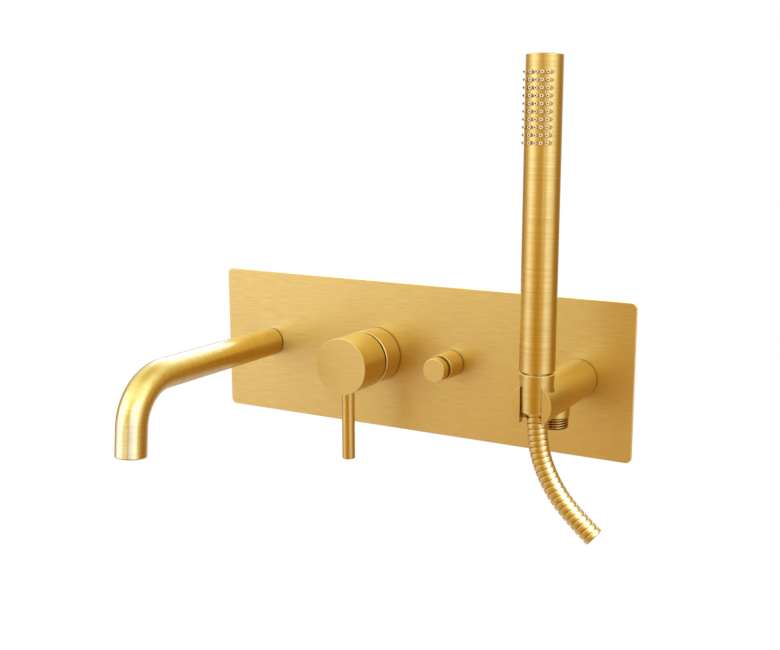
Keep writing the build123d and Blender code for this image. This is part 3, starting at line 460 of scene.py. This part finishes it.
def gold_finish(name, lay, rough=0.37, coat_rough=0.22, grain=1.0, foot=False):
    """Make brushed gold, with its lines laid by a function of the tree and the object coordinates.

    The grain scales the contrast of the lines. A foot adds painted contact shade where a fitting stands on the
    plate: darker colour and less coat.
    The tree, its shader and its base colour are given back.
    """
    tree, shader, place = new_material(name)
    lines = use_group(tree, "lay_lines", {"Vector": lay(tree, place)})
    middle = [(low + high) / 2 for low, high in zip(colours().gold_deep, colours().gold)]
    valley = [m - (m - low) * grain for m, low in zip(middle, colours().gold_deep)]
    ridge = [m + (high - m) * grain for m, high in zip(middle, colours().gold)]
    tone = mixed(tree, "Color", lines["Streak"], valley, ridge)
    coat = 1.0
    # Painted contact shade near the plate: the colour darkens and the coat thins
    if foot:
        shade_dark, shade_coat = 0.85, 0.2
        depth = axes_of(tree, place)[1]
        dark = spread(tree, depth, *FOOT_SHADE, 0.0, shade_dark)
        tone = mixed(tree, "Color", dark, tone, colours().foot_joint)
        coat = spread(tree, depth, *FOOT_SHADE, coat, shade_coat)
    sway, cloud_scale = 0.04 * grain, 22.0
    streaked = spread(tree, lines["Streak"], 0.0, 1.0, rough + sway, rough - sway)
    cloud = spread(tree, noise(tree, place, cloud_scale), *NOISE_RANGE, -0.02, 0.03)
    relief = {"Strength": 0.35 * grain, "Distance": 0.00004, "Height": lines["Line"]}
    look = {
        "Base Color": tone,
        "Metallic": 1.0,
        "Roughness": maths(tree, "ADD", streaked, cloud),
        "Normal": made(tree, "ShaderNodeBump", relief),
        "Coat Weight": coat,
        "Coat Roughness": coat_rough,
        "Coat IOR": 1.9,
    }
    fill(tree, shader, look)
    return tree, shader, tone


def turned_gold(name, centre, axis, face=-1.0, lines=3000.0, **finish):
    """Make brushed gold with lines round an axis, and level ones on a face before a given station."""

    def lay(tree, place):
        inputs = {"Position": place, "Centre": centre, "Axis": axis, "Face": face, "Lines": lines}
        return use_group(tree, "turned_lay", inputs)["Vector"]

    gold_finish(name, lay, **finish)


def flat_gold(name):
    """Make brushed gold with lines along X."""
    lines, drift = 2000.0, 60.0

    def lay(tree, place):
        axes = axes_of(tree, place)
        across = maths(tree, "MULTIPLY", maths(tree, "ADD", axes[2], axes[1]), lines)
        return vector_of(tree, across, maths(tree, "MULTIPLY", axes[0], drift))

    gold_finish(name, lay, rough=0.44, coat_rough=0.34, grain=1.25)


def spout_gold(name):
    """Make brushed gold with lines round the spout."""

    def lay(tree, place):
        return use_group(tree, "spout_lay", {"Position": place})["Vector"]

    gold_finish(name, lay, rough=0.34, coat_rough=0.14, grain=1.4, foot=True)


def plain_finish(name, tint, metallic, rough, grain, depth, stretch=(1.0, 1.0, 1.0), contrast=0.3):
    """Make a finish of one colour with a grain: its size and depth in metres, stretched along axes.

    The tree, its shader, its base colour and the object coordinates are given back.
    """
    tree, shader, place = new_material(name)
    fine = noise(tree, vectors(tree, "MULTIPLY", place, stretch), 1.0 / grain, 3.0, 0.6)
    cloud = noise(tree, place, 0.12 / grain)
    shade = maths(tree, "ADD", maths(tree, "MULTIPLY", fine, 0.6), maths(tree, "MULTIPLY", cloud, 0.4))
    dark = tuple(c * (1.0 - contrast) for c in tint)
    tone = mixed(tree, "Color", spread(tree, shade, 0.35, 0.65, 0.0, 1.0), dark, tint)
    relief = {"Strength": 0.5, "Distance": depth, "Height": fine}
    look = {
        "Base Color": tone,
        "Metallic": metallic,
        "Roughness": spread(tree, cloud, *NOISE_RANGE, rough - 0.05, rough + 0.06),
        "Normal": made(tree, "ShaderNodeBump", relief),
    }
    fill(tree, shader, look)
    return tree, shader, tone, place


def spray_finish(name, tip):
    """Make clear silicone: pale at the nozzles' tips, which stand at a given depth, and amber behind them, a
    painted reflection of the gold around with painted shade.
    """
    look = (0.0, 0.42, 0.0007, 0.00002)
    tree, shader, pale, place = plain_finish(name, colours().silicone, *look, contrast=0.08)
    # Behind the tips the colour turns amber: painted reflection of the gold, with painted shade
    pale_end, reflection_start = tip + 0.0004, tip + 0.0014
    behind = spread(tree, axes_of(tree, place)[1], pale_end, reflection_start, 0.0, 1.0)
    fill(tree, shader, {"Base Color": mixed(tree, "Color", behind, pale, colours().amber_reflection)})


def thread_finish(name, low, high):
    """Make the brass of the outlet's thread, with painted shade in its roots: it fades between two radii from
    the outlet's axis.
    """
    look, round_only = (1.0, 0.24, 0.0006, 0.00002, (1, 1, 6)), (1.0, 1.0, 0.0)
    tree, shader, bright, place = plain_finish(name, colours().bright_brass, *look)
    spoke = vectors(tree, "MULTIPLY", vectors(tree, "SUBTRACT", place, OUTLET), round_only)
    crest = spread(tree, number_from(tree, "LENGTH", spoke), low, high, 0.0, 1.0)
    fill(tree, shader, {"Base Color": mixed(tree, "Color", crest, colours().thread_root, bright)})


def hose_gold(name, core):
    """Make the hose's brushed gold: plain on the ribs, and with painted shade, darker colour and less coat, in
    the grooves between them.
    """
    fine, core_shade, core_shade_coat = 900.0, 0.4, 0.4

    def lay(tree, place):
        return scaled(tree, place, fine)

    tree, shader, gold = gold_finish(name, lay, rough=0.36, coat_rough=0.20)
    # The core that shows in the grooves gets painted shade: darker colour and less coat
    if core:
        dark = mixed(tree, "Color", core_shade, gold, colours().hose_groove)
        fill(tree, shader, {"Base Color": dark, "Coat Weight": core_shade_coat})


def dress(obj, *finishes):
    """Give an object its finishes, in the order of its material slots."""
    for finish in finishes:
        obj.data.materials.append(bpy.data.materials[finish])


# Plain finishes by their colours: metallic, roughness, the grain's size and depth in metres, and the grain's
# stretch along the axes and contrast where they aren't the usual ones
PLAIN_FINISHES = {
    "bright_brass": (1.0, 0.22, 0.0006, 0.00002, (1, 1, 6)),
    "cast_brass": (1.0, 0.48, 0.0009, 0.00018),
    "turned_brass": (1.0, 0.28, 0.0006, 0.00002, (0.1, 4, 0.1)),
    "pipe": (1.0, 0.30, 0.0010, 0.00002, (0.05, 3, 3)),
    "steel": (1.0, 0.26, 0.0005, 0.00001),
    "rubber": (0.0, 0.55, 0.0005, 0.00003),
    # Painted shade for the insides of the nozzles' holes
    "nozzle_hole": (0.0, 0.6, 0.0007, 0.00002),
    "cartridge": (0.0, 0.45, 0.0005, 0.00002, (1, 1, 1), 0.08),
    "ceramic": (0.0, 0.15, 0.0008, 0.000004, (1, 1, 1), 0.06),
    "aerator": (0.0, 0.45, 0.0006, 0.00002),
    "liner": (0.0, 0.40, 0.0008, 0.00002, (1, 1, 1), 0.1),
    "floor": (0.0, 0.75, 0.02, 0.0, (1, 1, 1), 0.02),
}

# Finish of each material slot but the gold one
SLOT_FINISHES = {
    "bright_brass": "finish_bright_brass",
    "cast_brass": "finish_cast_brass",
    "turned_brass": "finish_turned_brass",
    "pipe_metal": "finish_pipe",
    "steel": "finish_steel",
    "rubber": "finish_rubber",
    "silicone": "finish_silicone",
    "cartridge_plastic": "finish_cartridge",
    "ceramic": "finish_ceramic",
    "aerator_plastic": "finish_aerator",
    "liner_plastic": "finish_liner",
}

# Finish of each gold node, by the way that it was brushed
GOLD_FINISHES = {
    "face_plate": "gold_plate",
    "spout_tube": "gold_spout",
    "mixer_sleeve": "gold_mixer",
    "handle_cap": "gold_mixer",
    "lever_pin": "gold_lever",
    "diverter_sleeve": "gold_diverter",
    "diverter_button": "gold_diverter",
    "shower_arm": "gold_arm",
    "wand_tube": "gold_wand",
    "wand_cap": "gold_wand",
    "hose_nut": "gold_wand",
    "aerator_housing": "gold_spout",
}


class FAUCET_OT_camera(bpy.types.Operator):
    """Place the camera where the photograph was taken"""

    bl_idname = "faucet.camera"
    bl_label = "Camera"

    def execute(self, context):
        data = bpy.data.cameras.new("camera")
        data.sensor_width = 36.0
        data.lens = 50.604
        data.shift_x = -0.0703
        data.shift_y = 0.0073
        data.clip_start = 0.01
        camera = new_object("camera", data)
        ahead = Vector((-0.447512, 0.873180, -0.193107)).normalized()
        level = ahead.cross(Vector((0.0, 0.0, 1.0))).normalized()
        roll = math.radians(0.4679)
        right = level * math.cos(roll) + level.cross(ahead) * math.sin(roll)
        up = right.cross(ahead)
        turned = Matrix((right, up, -ahead)).transposed().to_4x4()
        place = (0.413733, -0.754253, 0.191710)
        camera.matrix_world = Matrix.Translation(place) @ turned
        context.scene.camera = camera
        return {"FINISHED"}


class FAUCET_OT_finishes(bpy.types.Operator):
    """Make the finishes and give one to each CAD node"""

    bl_idname = "faucet.finishes"
    bl_label = "Finishes"

    def execute(self, context):
        lay_lines_group()
        turned_lay_group()
        spout_lay_group()
        flat_gold("gold_plate")
        spout_gold("gold_spout")
        turned_gold("gold_mixer", MIXER, ALONG_Y, CAP_FACE, foot=True)
        turned_gold("gold_lever", LEVER, ALONG_Z, rough=0.34, coat_rough=0.14, grain=1.5)
        turned_gold("gold_diverter", DIVERTER, ALONG_Y, BUTTON_FACE, foot=True)
        turned_gold("gold_arm", ARM, ALONG_Y, ARM_FACE, foot=True)
        turned_gold("gold_wand", WAND, ALONG_Z, lines=1600.0, rough=0.34, coat_rough=0.14, grain=1.7)
        hose_gold("gold_hose", False)
        hose_gold("gold_hose_core", True)
        for name, look in PLAIN_FINISHES.items():
            plain_finish("finish_" + name, getattr(colours(), name), *look)
        size = sizes()
        spray_finish("finish_silicone", WAND[1] - size.nozzle_tip)
        # Painted shade fills the thread's roots out to here, and the bright brass starts there
        root_shade_to = size.thread_radius - size.thread_depth + 0.0002
        bright_from = size.thread_radius - 0.0001
        thread_finish("finish_thread", root_shade_to, bright_from)
        slots = {s["node"]: s["material_slot"] for s in frame["record"]["subparts"]}
        for name, node in frame["nodes"].items():
            finish = GOLD_FINISHES.get(name) or SLOT_FINISHES.get(slots[name], "gold_arm")
            node.data.materials.clear()
            dress(node, finish)
        return {"FINISHED"}


def ribs_tree():
    """The geometry nodes that set rings of rounded section along a line."""
    inputs = {
        "Geometry": ["Line"],
        "Int": ["Ribs"],
        "Float": ["Radius", "Width", "Height", "Rounding"],
        "Material": ["Finish"],
    }
    tree, out, result = new_group("hose_ribs", inputs, {"Geometry": ["Ribs"]}, "GeometryNodeTree")
    half = maths(tree, "DIVIDE", 0.5, out["Ribs"])
    line = made(tree, "GeometryNodeMeshToCurve", {"Mesh": out["Line"]})
    trim = add(tree, "GeometryNodeTrimCurve", {"Curve": line}, mode="FACTOR")
    tree.links.new(half, trim.inputs["Start"])
    tree.links.new(maths(tree, "SUBTRACT", 1.0, half), trim.inputs["End"])
    spaced = {"Curve": trim.outputs[0], "Count": out["Ribs"]}
    stations = add(tree, "GeometryNodeCurveToPoints", spaced, mode="COUNT").outputs
    middle = maths(tree, "SUBTRACT", out["Radius"], maths(tree, "MULTIPLY", out["Height"], 0.5))
    ring = made(tree, "GeometryNodeCurvePrimitiveCircle", {"Resolution": 56, "Radius": middle})
    sides = {"Width": out["Height"], "Height": out["Width"]}
    section = made(tree, "GeometryNodeCurvePrimitiveQuadrilateral", sides)
    corners = {"Curve": section, "Count": 4, "Radius": out["Rounding"]}
    rounded = made(tree, "GeometryNodeFilletCurve", corners, mode="POLY")
    rib = made(tree, "GeometryNodeCurveToMesh", {"Curve": ring, "Profile Curve": rounded})
    places = {"Points": stations["Points"], "Instance": rib, "Rotation": stations["Rotation"]}
    placed = made(tree, "GeometryNodeInstanceOnPoints", places)
    real = made(tree, "GeometryNodeRealizeInstances", {"Geometry": placed})
    smooth = made(tree, "GeometryNodeSetShadeSmooth", {"Geometry": real})
    done = made(tree, "GeometryNodeSetMaterial", {"Geometry": smooth, "Material": out["Finish"]})
    tree.links.new(done, result["Ribs"])
    return tree


def nozzles_tree():
    """The geometry nodes that set nozzles in rows and columns, and end each one on the mat behind it."""
    inputs = {
        "Geometry": ["Nozzle"],
        "Int": ["Rows", "Columns"],
        "Float": ["Row Pitch", "Column Pitch", "Mat Radius", "Root"],
        "Vector": ["Middle", "Mat Axis"],
        "Material": ["Finish"],
    }
    tree, out, result = new_group("spray_nozzles", inputs, {"Geometry": ["Nozzles"]}, "GeometryNodeTree")
    wide = maths(tree, "MULTIPLY", out["Column Pitch"], maths(tree, "SUBTRACT", out["Columns"], 1.0))
    tall = maths(tree, "MULTIPLY", out["Row Pitch"], maths(tree, "SUBTRACT", out["Rows"], 1.0))
    field = {"Size X": wide, "Size Y": tall, "Vertices X": out["Columns"], "Vertices Y": out["Rows"]}
    grid = add(tree, "GeometryNodeMeshGrid", field).outputs["Mesh"]
    stance = {"Geometry": grid, "Translation": out["Middle"], "Rotation": (math.pi / 2, 0.0, 0.0)}
    upright = made(tree, "GeometryNodeTransform", stance)
    placed = made(tree, "GeometryNodeInstanceOnPoints", {"Points": upright, "Instance": out["Nozzle"]})
    real = made(tree, "GeometryNodeRealizeInstances", {"Geometry": placed})
    point = axes_of(tree, made(tree, "GeometryNodeInputPosition", {}))
    axis = axes_of(tree, out["Mat Axis"])
    offset = maths(tree, "SUBTRACT", point[0], axis[0])
    mat_square = maths(tree, "MULTIPLY", out["Mat Radius"], out["Mat Radius"])
    square = maths(tree, "SUBTRACT", mat_square, maths(tree, "MULTIPLY", offset, offset))
    depth = maths(tree, "SUBTRACT", axis[1], maths(tree, "SQRT", square))
    seated = vector_of(tree, point[0], depth, point[2])
    at_root = maths(tree, "GREATER_THAN", point[1], out["Root"])
    move = {"Geometry": real, "Selection": at_root, "Position": seated}
    moved = made(tree, "GeometryNodeSetPosition", move)
    done = made(tree, "GeometryNodeSetMaterial", {"Geometry": moved, "Material": out["Finish"]})
    tree.links.new(done, result["Nozzles"])
    return tree


def run_tree(obj, tree, values):
    """The mesh that a geometry nodes tree makes of an object, with the tree's named inputs set."""
    modifier = obj.modifiers.new(tree.name, "NODES")
    modifier.node_group = tree
    names = {s.name: s.identifier for s in tree.interface.items_tree if s.in_out == "INPUT"}
    for name, value in values.items():
        modifier[names[name]] = value
    obj.update_tag()
    mesh = evaluated_mesh(obj)
    obj.modifiers.remove(modifier)
    if not mesh.polygons:
        raise RuntimeError(f"the tree {tree.name} made nothing")
    return mesh


class FAUCET_OT_hose(bpy.types.Operator):
    """Make the ribbed hose along its route"""

    bl_idname = "faucet.hose"
    bl_label = "Shower hose"

    def execute(self, context):
        size = sizes()
        data = bpy.data.curves.new("hose_route", "CURVE")
        data.dimensions = "3D"
        spline = data.splines.new("NURBS")
        spline.points.add(len(HOSE_ROUTE) - 1)
        for point, place in zip(spline.points, HOSE_ROUTE):
            point.co = (*place, 1.0)
        spline.order_u = 3
        spline.use_endpoint_u = True
        spline.resolution_u = 24
        route = new_object("hose_route", data)
        line = evaluated_mesh(route)
        path = [v.co.copy() for v in line.vertices]
        holder = new_object("hose_line", line)
        ribs = run_tree(
            holder,
            ribs_tree(),
            {
                "Ribs": size.hose_ribs,
                "Radius": size.hose_radius,
                "Width": size.rib_width,
                "Height": size.rib_height,
                "Rounding": size.rib_round,
                "Finish": bpy.data.materials["gold_hose"],
            },
        )
        segments = 40
        points = tube_points(path, size.hose_core, segments)
        points += tube_points(path, size.hose_bore, segments)[::-1]
        core = new_mesh("hose_core", points, ring_faces(2 * len(path), segments, True))
        sharpen(core, 50.0)
        hose = new_object("shower_hose", merged("shower_hose", [(outward(ribs), 0), (outward(core), 1)]))
        dress(hose, "gold_hose", "gold_hose_core")
        for scratch in (route, holder):
            bpy.data.objects.remove(scratch)
        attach(hose, "hose")
        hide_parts("hose", "hose_liner")
        total = sum((b - a).length for a, b in zip(path, path[1:]))
        return {"FINISHED"}


class FAUCET_OT_spray(bpy.types.Operator):
    """Make the spray mat with its rows of nozzles"""

    bl_idname = "faucet.spray"
    bl_label = "Spray nozzles"

    def execute(self, context):
        size = sizes()
        outer, hole = size.nozzle_radius, size.nozzle_hole
        root, root_margin = 0.0040, 0.0002  # length of a nozzle before it ends on the mat, and its tolerance
        rim = ((0.0, 0.00022), (0.00004, 0.00008), (0.00014, 0.0))  # in from the outside and back from the tip
        bevel = ((0.00006, 0.0), (0.0, 0.00008))  # out from the hole and back from the tip
        outline = [(outer, root)]
        outline += [(outer - inwards, back) for inwards, back in rim]
        outline += [(hole + outwards, back) for outwards, back in bevel]
        outline += [(hole, root)]
        segments = 24
        points = turned_points(outline, (0.0, 0.0, 0.0), ALONG_Y, segments)
        nozzle = outward(new_mesh("nozzle", points, ring_faces(len(outline), segments, True)))
        sharpen(nozzle, 60.0)
        holder = new_object("nozzle", nozzle)
        middle = size.spray_top_row - size.spray_row_pitch * (size.spray_rows - 1) / 2
        tip = WAND[1] - size.nozzle_tip
        nozzles = run_tree(
            holder,
            nozzles_tree(),
            {
                "Rows": size.spray_rows,
                "Columns": size.spray_columns,
                "Row Pitch": size.spray_row_pitch,
                "Column Pitch": size.spray_column_pitch,
                "Mat Radius": size.mat_radius - size.mat_thickness / 2,
                "Root": tip + root - root_margin,
                "Middle": (WAND[0], tip, middle),
                "Mat Axis": WAND,
                "Finish": bpy.data.materials["finish_silicone"],
            },
        )
        bpy.data.objects.remove(holder)
        half = math.acos(size.mat_back / size.mat_radius)
        high = size.spray_row_pitch * (size.spray_rows - 1) / 2 + size.mat_margin
        steps, section = 32, []
        for radius, order in ((size.mat_radius, 1), (size.mat_radius - size.mat_thickness, -1)):
            for i in range(steps + 1)[::order]:
                angle = half * (2 * i / steps - 1)
                section.append((WAND[0] + radius * math.sin(angle), WAND[1] - radius * math.cos(angle)))
        count_round = len(section)
        points = [(x, y, middle + z) for z in (-high, high) for x, y in section]
        faces = ring_faces(2, count_round, False)
        for i in range(steps):
            a, b = i, count_round - 1 - i
            faces.append((a, a + 1, b - 1, b))
            faces.append((count_round + a, count_round + b, count_round + b - 1, count_round + a + 1))
        mat = new_mesh("mat", points, faces)
        sharpen(mat, 40.0)
        spray = new_object("spray_nozzles", merged("spray_nozzles", [(nozzles, 0), (outward(mat), 0)]))
        sharpen(spray.data, 50.0)
        per_nozzle, hole_ring = len(outline) * segments, len(outline) - 2
        # The faces inside each nozzle's hole get the second slot, a colour of painted shade
        for i in range(len(nozzles.polygons)):
            if i % per_nozzle // segments == hole_ring:
                spray.data.polygons[i].material_index = 1
        dress(spray, "finish_silicone", "finish_nozzle_hole")
        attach(spray, "handset")
        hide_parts("spray_mat")
        return {"FINISHED"}


class FAUCET_OT_outlet(bpy.types.Operator):
    """Make the threaded outlet under the shower arm"""

    bl_idname = "faucet.outlet"
    bl_label = "Threaded outlet"

    def execute(self, context):
        size = sizes()
        per_turn, lead = 64, 1.5  # steps in a turn, and turns that start below the low end
        chamfer, core_gap = 0.0007, 0.0002
        low, high = size.outlet_low, size.outlet_seat
        profile = [(0.00, 1.0), (0.10, 1.0), (0.34, 0.0), (0.76, 0.0)]  # shares of the pitch and of the depth
        turns = math.ceil((high - low) / size.thread_pitch) + 2
        steps = turns * per_turn
        points, faces = [], []
        for i in range(steps + per_turn + 1):
            angle = 2 * math.pi * i / per_turn
            for share, depth in profile:
                z = low + size.thread_pitch * (i / per_turn + share - lead)
                z = min(max(z, low), high)
                radius = size.thread_radius - size.thread_depth * depth
                radius = min(radius, size.thread_radius - chamfer + (z - low))
                x, y = OUTLET[0] + radius * math.cos(angle), OUTLET[1] + radius * math.sin(angle)
                points.append((x, y, z))
        width = len(profile)
        for i in range(steps):
            for k in range(width):
                a = i * width + k
                b = a + 1 if k < width - 1 else (i + per_turn) * width
                c = b + width
                d = a + width
                faces.append((a, d, c, b))
        thread = new_mesh("thread", points, faces)
        sharpen(thread, 35.0)
        inner, shank = size.outlet_bore, size.outlet_shank
        neck = size.thread_radius - size.thread_depth - core_gap
        outline = [
            (inner, low),
            (neck, low),
            (neck, high),
            (shank, high),
            (shank, size.outlet_high),
            (inner, size.outlet_high),
        ]
        points = turned_points(outline, OUTLET, ALONG_Z, per_turn)
        core = new_mesh("core", points, ring_faces(len(outline), per_turn, True))
        sharpen(core, 30.0)
        outlet = new_object("outlet_thread", merged("outlet_thread", [(thread, 0), (outward(core), 0)]))
        sharpen(outlet.data, 32.0)
        dress(outlet, "finish_thread")
        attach(outlet, "fixed")
        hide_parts("outlet_nipple")
        return {"FINISHED"}


class FAUCET_OT_spring(bpy.types.Operator):
    """Make the diverter's return spring"""

    bl_idname = "faucet.spring"
    bl_label = "Return spring"

    def execute(self, context):
        size = sizes()
        per_turn, segments = 40, 12
        steps = per_turn * size.spring_turns
        path = []
        for i in range(steps + 1):
            angle = 2 * math.pi * size.spring_turns * i / steps
            y = size.spring_front + (size.spring_rear - size.spring_front) * i / steps
            x, z = size.spring_radius * math.cos(angle), size.spring_radius * math.sin(angle)
            path.append(Vector((DIVERTER[0] + x, y, z)))
        faces = ring_faces(len(path), segments, False)
        faces.append(tuple(range(segments))[::-1])
        faces.append(tuple(len(path) * segments - segments + j for j in range(segments)))
        mesh = new_mesh("return_spring", tube_points(path, size.spring_wire, segments), faces)
        sharpen(mesh, 50.0)
        spring = new_object("return_spring", outward(mesh))
        dress(spring, "finish_steel")
        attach(spring, "fixed")
        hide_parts("diverter_spring")
        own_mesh(spring)
        return {"FINISHED"}


# Bands of panels in the light tent: height, first azimuth and spread in degrees, and the panels' levels in turn
TENT_BANDS = (
    (-55, -180.0, 20, (0.28, 0.57, 0.0, 0.1)),
    (-22, -167.1, 12, (0.29, 0.18, 0.0, 0.0, 0.52, 0.29, 0.0, 0.0, 0.01, 0.57, 0.15, 0.0, 0.0, 0.0)),
    (0, -180.0, 11, (0.1, 0.28, 0.0, 0.0, 0.0, 0.23, 1.04, 0.47, 0.0, 0.0, 0.24, 0.87, 0.66, 0.0, 0.0, 0.0)),
    (22, -167.1, 12, (0.58, 0.54, 0.19, 0.18, 0.78, 1.4, 0.88, 0.0, 0.84, 1.22, 0.84, 0.05, 0.0, 0.25)),
    (48, -180.0, 15, (1.11, 0.86, 0.58, 1.13, 0.96, 1.11, 0.45)),
    (85, -180.0, 20, (0.04,)),
)

# Colours of the panels, and of the tent's cloth below and above the height in degrees where it turns
PANEL_TINT = (0.78, 1.085, 1.56)
LOW_CLOTH = (0.565, 0.285, 0.00)
HIGH_CLOTH = (0.72, 0.63, 0.21)
CLOTH_TURN, CLOTH_BLEND = 9.0, 16.0

# What the lamps for single pieces aim at
RUN, LEG, HOSE_END = (-0.1385, -0.09, 0.0), (-0.1385, -0.17, -0.04), (0.175, -0.083, -0.08)
BACK = (0.0, 0.04, 0.0)

# Lamps for single pieces: azimuth and rise in degrees, target, width, height, brightness, tint and piece
STRIPS = {
    "run_strip": (-155, 32, RUN, 1.10, 0.75, 1.0, (0.50, 0.85, 2.30), "spout_tube"),
    "left_strip": (-47, 2, LEG, 1.50, 1.6, 1.0, (0.46, 0.95, 2.90), "spout_tube"),
    "front_strip": (4, -14, LEG, 0.50, 0.9, 1.0, (0.60, 1.10, 1.70), "spout_tube"),
    "right_strip": (52, 0, LEG, 1.28, 1.5, 1.0, (0.60, 1.15, 3.60), "spout_tube"),
    "hose_strip": (80, 34, HOSE_END, 0.90, 0.90, 4.5, (0.58, 0.86, 3.20), "shower_hose"),
}
WHITE = (1.0, 1.0, 1.0)


def direction(azimuth, rise):
    """The direction at an azimuth and a rise in degrees. The azimuth grows from -Y towards +X."""
    turn, tilt = math.radians(azimuth), math.radians(rise)
    return Vector((math.cos(tilt) * math.sin(turn), -math.cos(tilt) * math.cos(turn), math.sin(tilt)))


def softbox(name, place, target, width, height, radiance, tint=WHITE):
    """A rectangular lamp that faces a target, with a given brightness of its face."""
    lamp = bpy.data.lights.new(name, "AREA")
    lamp.shape = "RECTANGLE"
    lamp.size, lamp.size_y = width, height
    lamp.energy = radiance * math.pi * width * height
    lamp.color = tint
    obj = new_object(name, lamp)
    obj.location = place
    obj.rotation_euler = (Vector(target) - Vector(place)).to_track_quat("-Z", "Y").to_euler()
    obj.visible_camera = False
    return obj


def accent(name, azimuth, rise, target, width, height, radiance, tint, pieces):
    """A softbox at an azimuth and a rise in degrees, seen from a target, that lights some pieces alone."""
    distance = 1.2
    place = Vector(target) + direction(azimuth, rise) * distance
    lamp = softbox(name, place, target, width, height, radiance, tint)
    lit = bpy.data.collections.new(name)
    for piece in pieces:
        lit.objects.link(bpy.data.objects[piece])
    lamp.light_linking.receiver_collection = lit


def nodes_behind(front):
    """Names of the CAD nodes that lie behind a given depth and reach the wall."""
    names = []
    for name, node in frame["nodes"].items():
        depths = [v.co.y for v in node.data.vertices]
        if min(depths) > front and max(depths) >= 0.0:
            names.append(name)
    return names


def tent():
    """A tent of warm cloth with white panels in it, which shows only in reflections."""
    rings, segments, radius = 48, 96, 2.5
    directions = []
    for i in range(rings + 1):
        for j in range(segments):
            directions.append(direction(360.0 * j / segments, 180.0 * i / rings - 90.0))
    panels = []
    for height, first, wide, levels in TENT_BANDS:
        for i, level in enumerate(levels):
            place = direction(first + 360.0 * i / len(levels), height)
            panels.append((place, math.radians(wide), level))
    mesh = new_mesh("light_tent", [d * radius for d in directions], ring_faces(rings + 1, segments, False))
    glow = mesh.color_attributes.new("glow", "FLOAT_COLOR", "POINT")
    for entry, way in zip(glow.data, directions):
        light = sum(level * math.exp(-0.5 * (way.angle(place) / wide) ** 2) for place, wide, level in panels)
        height = math.degrees(math.asin(min(max(way.z, -1.0), 1.0)))
        rise = min(max((height - CLOTH_TURN) / CLOTH_BLEND, 0.0), 1.0)
        shade = 0.82 - 0.18 * way.y  # brighter in front than behind
        cloth = [low * shade + (high - low * shade) * rise for low, high in zip(LOW_CLOTH, HIGH_CLOTH)]
        entry.color = (*(light * tint + plain for tint, plain in zip(PANEL_TINT, cloth)), 1.0)
    cover = new_object("light_tent", mesh)
    material = bpy.data.materials.new("light_tent")
    tree = blank_tree(material)
    colour_there = add(tree, "ShaderNodeAttribute", attribute_name="glow").outputs["Color"]
    shine = made(tree, "ShaderNodeEmission", {"Color": colour_there, "Strength": 1.0})
    tree.links.new(shine, add(tree, "ShaderNodeOutputMaterial").inputs["Surface"])
    mesh.materials.append(material)
    cover.visible_camera = False
    cover.visible_shadow = False
    cover.visible_diffuse = False


class FAUCET_OT_stage(bpy.types.Operator):
    """Set up the floor, the background and the lamps"""

    bl_idname = "faucet.stage"
    bl_label = "Stage"

    def execute(self, context):
        scene = context.scene
        scene.view_settings.view_transform = "Standard"
        rim, radius, level = 72, 0.5, -0.62
        points = circle(Vector((0.0, 0.0, level)), Vector((1, 0, 0)), Vector(ALONG_Y), radius, rim)
        floor = new_object("floor", new_mesh("floor", points, [tuple(range(rim))], False))
        dress(floor, "finish_floor")
        world = bpy.data.worlds.new("studio")
        scene.world = world
        tree = blank_tree(world)
        ray = add(tree, "ShaderNodeLightPath").outputs
        seen = maths(tree, "MAXIMUM", ray["Is Camera Ray"], ray["Is Glossy Ray"])
        seen = maths(tree, "MAXIMUM", seen, ray["Is Transmission Ray"])
        strength = spread(tree, seen, 0.0, 1.0, 0.9, 1.0)
        background = made(tree, "ShaderNodeBackground", {"Color": (*WHITE, 1.0), "Strength": strength})
        tree.links.new(background, add(tree, "ShaderNodeOutputWorld").inputs["Surface"])
        tent()
        key = softbox("key_softbox", (0.2, -1.2, 1.6), (0.0, -0.08, 0.03), 1.2, 1.2, 0.5)
        key.visible_glossy = False
        for name, (*lamp, piece) in STRIPS.items():
            accent(name, *lamp, [piece])
        accent("rear_fill", 180, 22, BACK, 2.0, 2.0, 1.1, WHITE, nodes_behind(front=-0.023))
        return {"FINISHED"}


OPERATORS = (
    FAUCET_OT_camera,
    FAUCET_OT_finishes,
    FAUCET_OT_hose,
    FAUCET_OT_spray,
    FAUCET_OT_outlet,
    FAUCET_OT_spring,
    FAUCET_OT_stage,
)


class FAUCET_PT_panel(bpy.types.Panel):
    """The faucet's operators"""

    bl_idname = "FAUCET_PT_panel"
    bl_label = "Wall Mounted Bath Faucet"
    bl_space_type = "VIEW_3D"
    bl_region_type = "UI"
    bl_category = "Faucet"

    def draw(self, context):
        for operator in OPERATORS:
            self.layout.operator(operator.bl_idname)


CLASSES = (FaucetSizes, FaucetColours, *OPERATORS, FAUCET_PT_panel)


def register():
    """Register the classes and the scene's settings."""
    for entry in CLASSES:
        bpy.utils.register_class(entry)
    bpy.types.Scene.faucet_sizes = PointerProperty(type=FaucetSizes)
    bpy.types.Scene.faucet_colours = PointerProperty(type=FaucetColours)


def unregister():
    """Take the classes and the scene's settings away again."""
    del bpy.types.Scene.faucet_colours
    del bpy.types.Scene.faucet_sizes
    for entry in reversed(CLASSES):
        bpy.utils.unregister_class(entry)


def main():
    """Make the whole visual model."""
    register()
    bpy.ops.faucet.camera()
    bpy.ops.faucet.finishes()
    bpy.ops.faucet.hose()
    bpy.ops.faucet.spray()
    bpy.ops.faucet.outlet()
    bpy.ops.faucet.spring()
    bpy.ops.faucet.stage()


if __name__ == "__main__":
    main()
